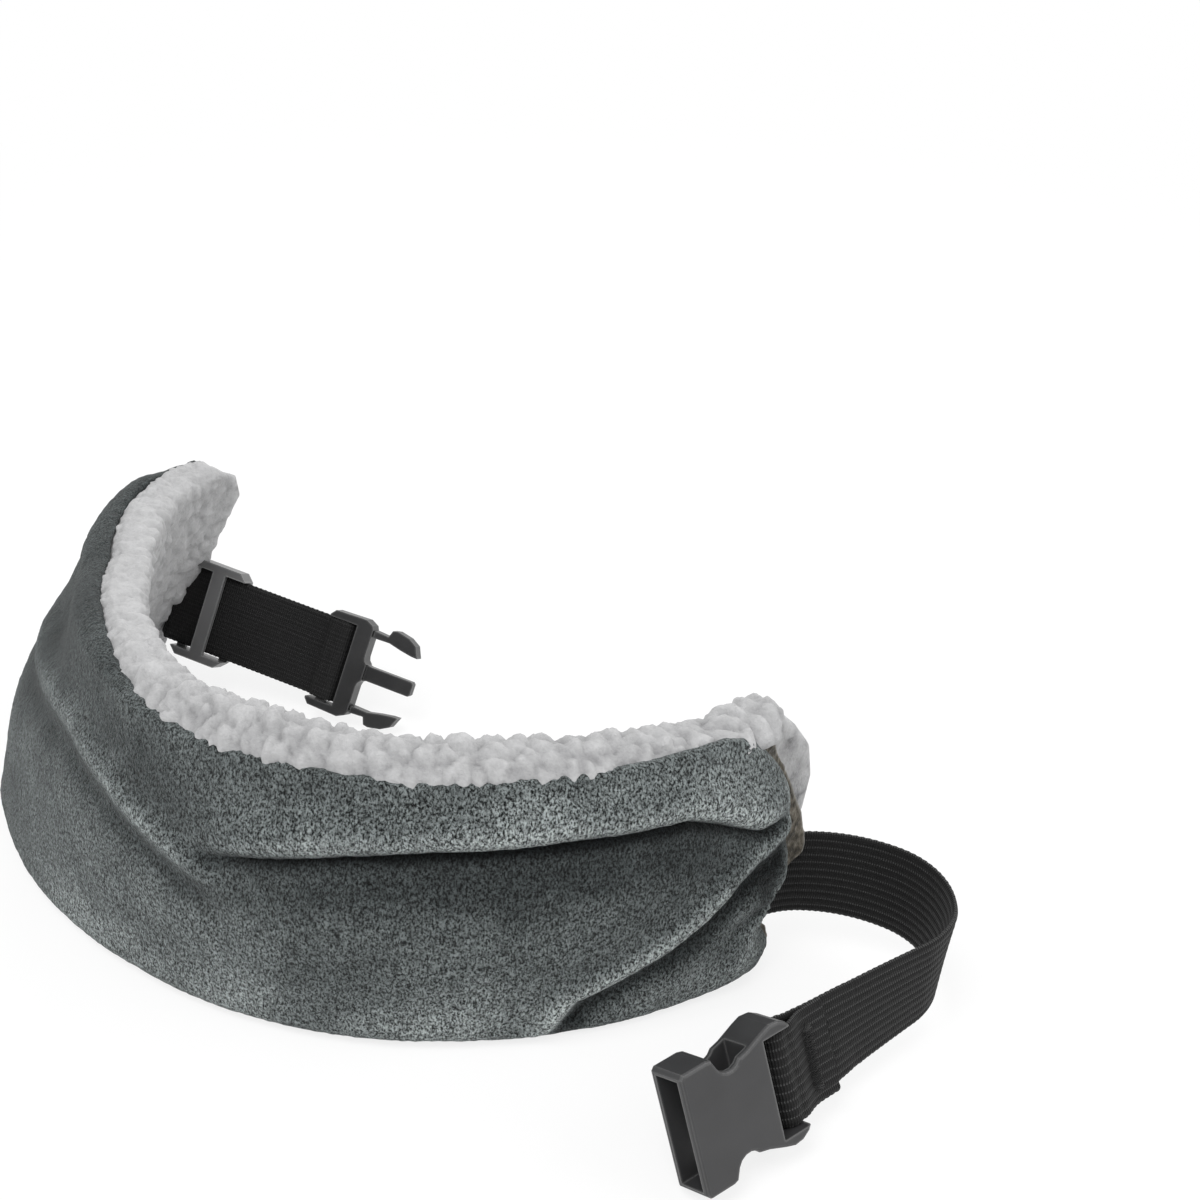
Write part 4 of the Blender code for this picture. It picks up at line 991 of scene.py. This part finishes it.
def make_studio():
    """An even white surround, a pale floor that takes a soft shadow, and three lamps."""
    scene = bpy.context.scene
    scene.view_settings.view_transform = "Standard"
    world = bpy.data.worlds.new("studio")
    scene.world = world
    world.use_nodes = True
    tree = world.node_tree
    lit = tree.nodes["Background"]
    lit.inputs["Color"].default_value = (1.0, 1.0, 1.0, 1.0)
    lit.inputs["Strength"].default_value = WORLD_LIGHT
    seen = tree.nodes.new("ShaderNodeBackground")
    seen.inputs["Color"].default_value = (1.0, 1.0, 1.0, 1.0)
    mix = tree.nodes.new("ShaderNodeMixShader")
    tree.links.new(pale(tree, 1.0), mix.inputs["Fac"])
    tree.links.new(lit.outputs[0], mix.inputs[1])
    tree.links.new(seen.outputs[0], mix.inputs[2])
    tree.links.new(mix.outputs[0], tree.nodes["World Output"].inputs["Surface"])

    bpy.ops.mesh.primitive_circle_add(vertices=96, radius=FLOOR_RADIUS, fill_type="NGON",
                                      location=(0.0, 0.0, -0.0002))
    floor = bpy.context.object
    floor.name = "studio_floor"
    finish = bpy.data.materials.new("studio_floor")
    finish.use_nodes = True
    tree = finish.node_tree
    shader = tree.nodes["Principled BSDF"]
    shader.inputs["Base Color"].default_value = (0.90, 0.90, 0.90, 1.0)
    shader.inputs["Roughness"].default_value = 0.9
    shader.inputs["Specular IOR Level"].default_value = 0.0
    glow = tree.nodes.new("ShaderNodeEmission")
    glow.inputs["Strength"].default_value = 1.0
    mix = tree.nodes.new("ShaderNodeMixShader")
    tree.links.new(pale(tree, FLOOR_GLOW, FLOOR_FADE), mix.inputs["Fac"])
    tree.links.new(shader.outputs[0], mix.inputs[1])
    tree.links.new(glow.outputs[0], mix.inputs[2])
    tree.links.new(mix.outputs[0], tree.nodes["Material Output"].inputs["Surface"])
    floor.data.materials.append(finish)

    area_light("key", (-0.25, -0.45, 0.95), 0.6, 7.0)
    area_light("fill", (0.75, -0.25, 0.55), 0.7, 2.6)
    area_light("back", (0.1, 0.85, 0.6), 0.7, 2.6)


def make_camera():
    """The photograph's viewing angle: from the front, a little over a third of the way up."""
    elevation = math.radians(CAMERA_ELEVATION)
    target = (SHIFT + np.array([0.0, 0.0, 40.0])) * MM
    back = np.array([0.0, -math.cos(elevation), math.sin(elevation)])
    data = bpy.data.cameras.new("camera")
    data.lens = 60.0
    data.sensor_width = 36.0
    data.shift_x = 0.1005
    data.shift_y = 0.189
    data.clip_start = 0.01
    made = bpy.data.objects.new("camera", data)
    made.location = target + back * CAMERA_DISTANCE
    made.rotation_euler = (math.radians(90.0) - elevation, 0.0, 0.0)
    bpy.context.scene.collection.objects.link(made)
    bpy.context.scene.camera = made


def finish_nodes():
    """Materials and softer edges for the pieces that the model itself gives."""
    # the second colour of each plastic is its painted edge highlight
    black = plastic_finish("satin_plastic", (0.029, 0.029, 0.030), (0.125, 0.125, 0.125), 0.42)
    dark = plastic_finish("plug_plastic", (0.014, 0.014, 0.0145), (0.075, 0.075, 0.075), 0.36)
    grey = plastic_finish("slider_plastic", (0.10, 0.10, 0.101), (0.22, 0.22, 0.22), 0.38)
    thread = thread_finish()
    chosen = {"female_buckle": black, "male_buckle": dark, "latch_arm_upper": dark,
              "latch_arm_lower": dark, "slider": grey, "fold_bartack": thread}
    for name, finish in chosen.items():
        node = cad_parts[name]
        for slot in node.material_slots:
            slot.material = finish
        if name == "fold_bartack":
            raised = node.modifiers.new("raised", "DISPLACE")
            raised.strength = STITCH_RAISE
            raised.mid_level = 0.0
        else:
            edges = node.modifiers.new("soft_edges", "BEVEL")
            edges.width = EDGE_WIDTH
            edges.segments = 3
            edges.limit_method = "ANGLE"
            edges.angle_limit = math.radians(35)
            edges.harden_normals = True


def main():
    make_camera()
    make_studio()
    velvet = make_velvet()
    velvet.data.materials.append(velvet_finish())
    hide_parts("velvet_cover_right", "velvet_cover_left", "padding_core_right", "padding_core_left")
    sherpa = make_sherpa()
    sherpa.data.materials.append(sherpa_finish())
    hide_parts("sherpa_lining_right", "sherpa_lining_left")
    middle = pad_point(PAD_LENGTH / 2, PAD_THICKNESS / 2, 40.0)
    for piece in (velvet, sherpa):
        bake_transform(piece)

    elastic = strap_finish("ribbed_elastic", (0.0030, 0.0030, 0.0030), (0.070, 0.070, 0.070), 11, 1.0)
    webbing = strap_finish("black_webbing", (0.0035, 0.0035, 0.0035), (0.022, 0.022, 0.022), 20, 1.1)
    centres = make_elastic(elastic)
    make_trim(trim_finish())
    make_webbing(webbing)
    finish_nodes()


main()
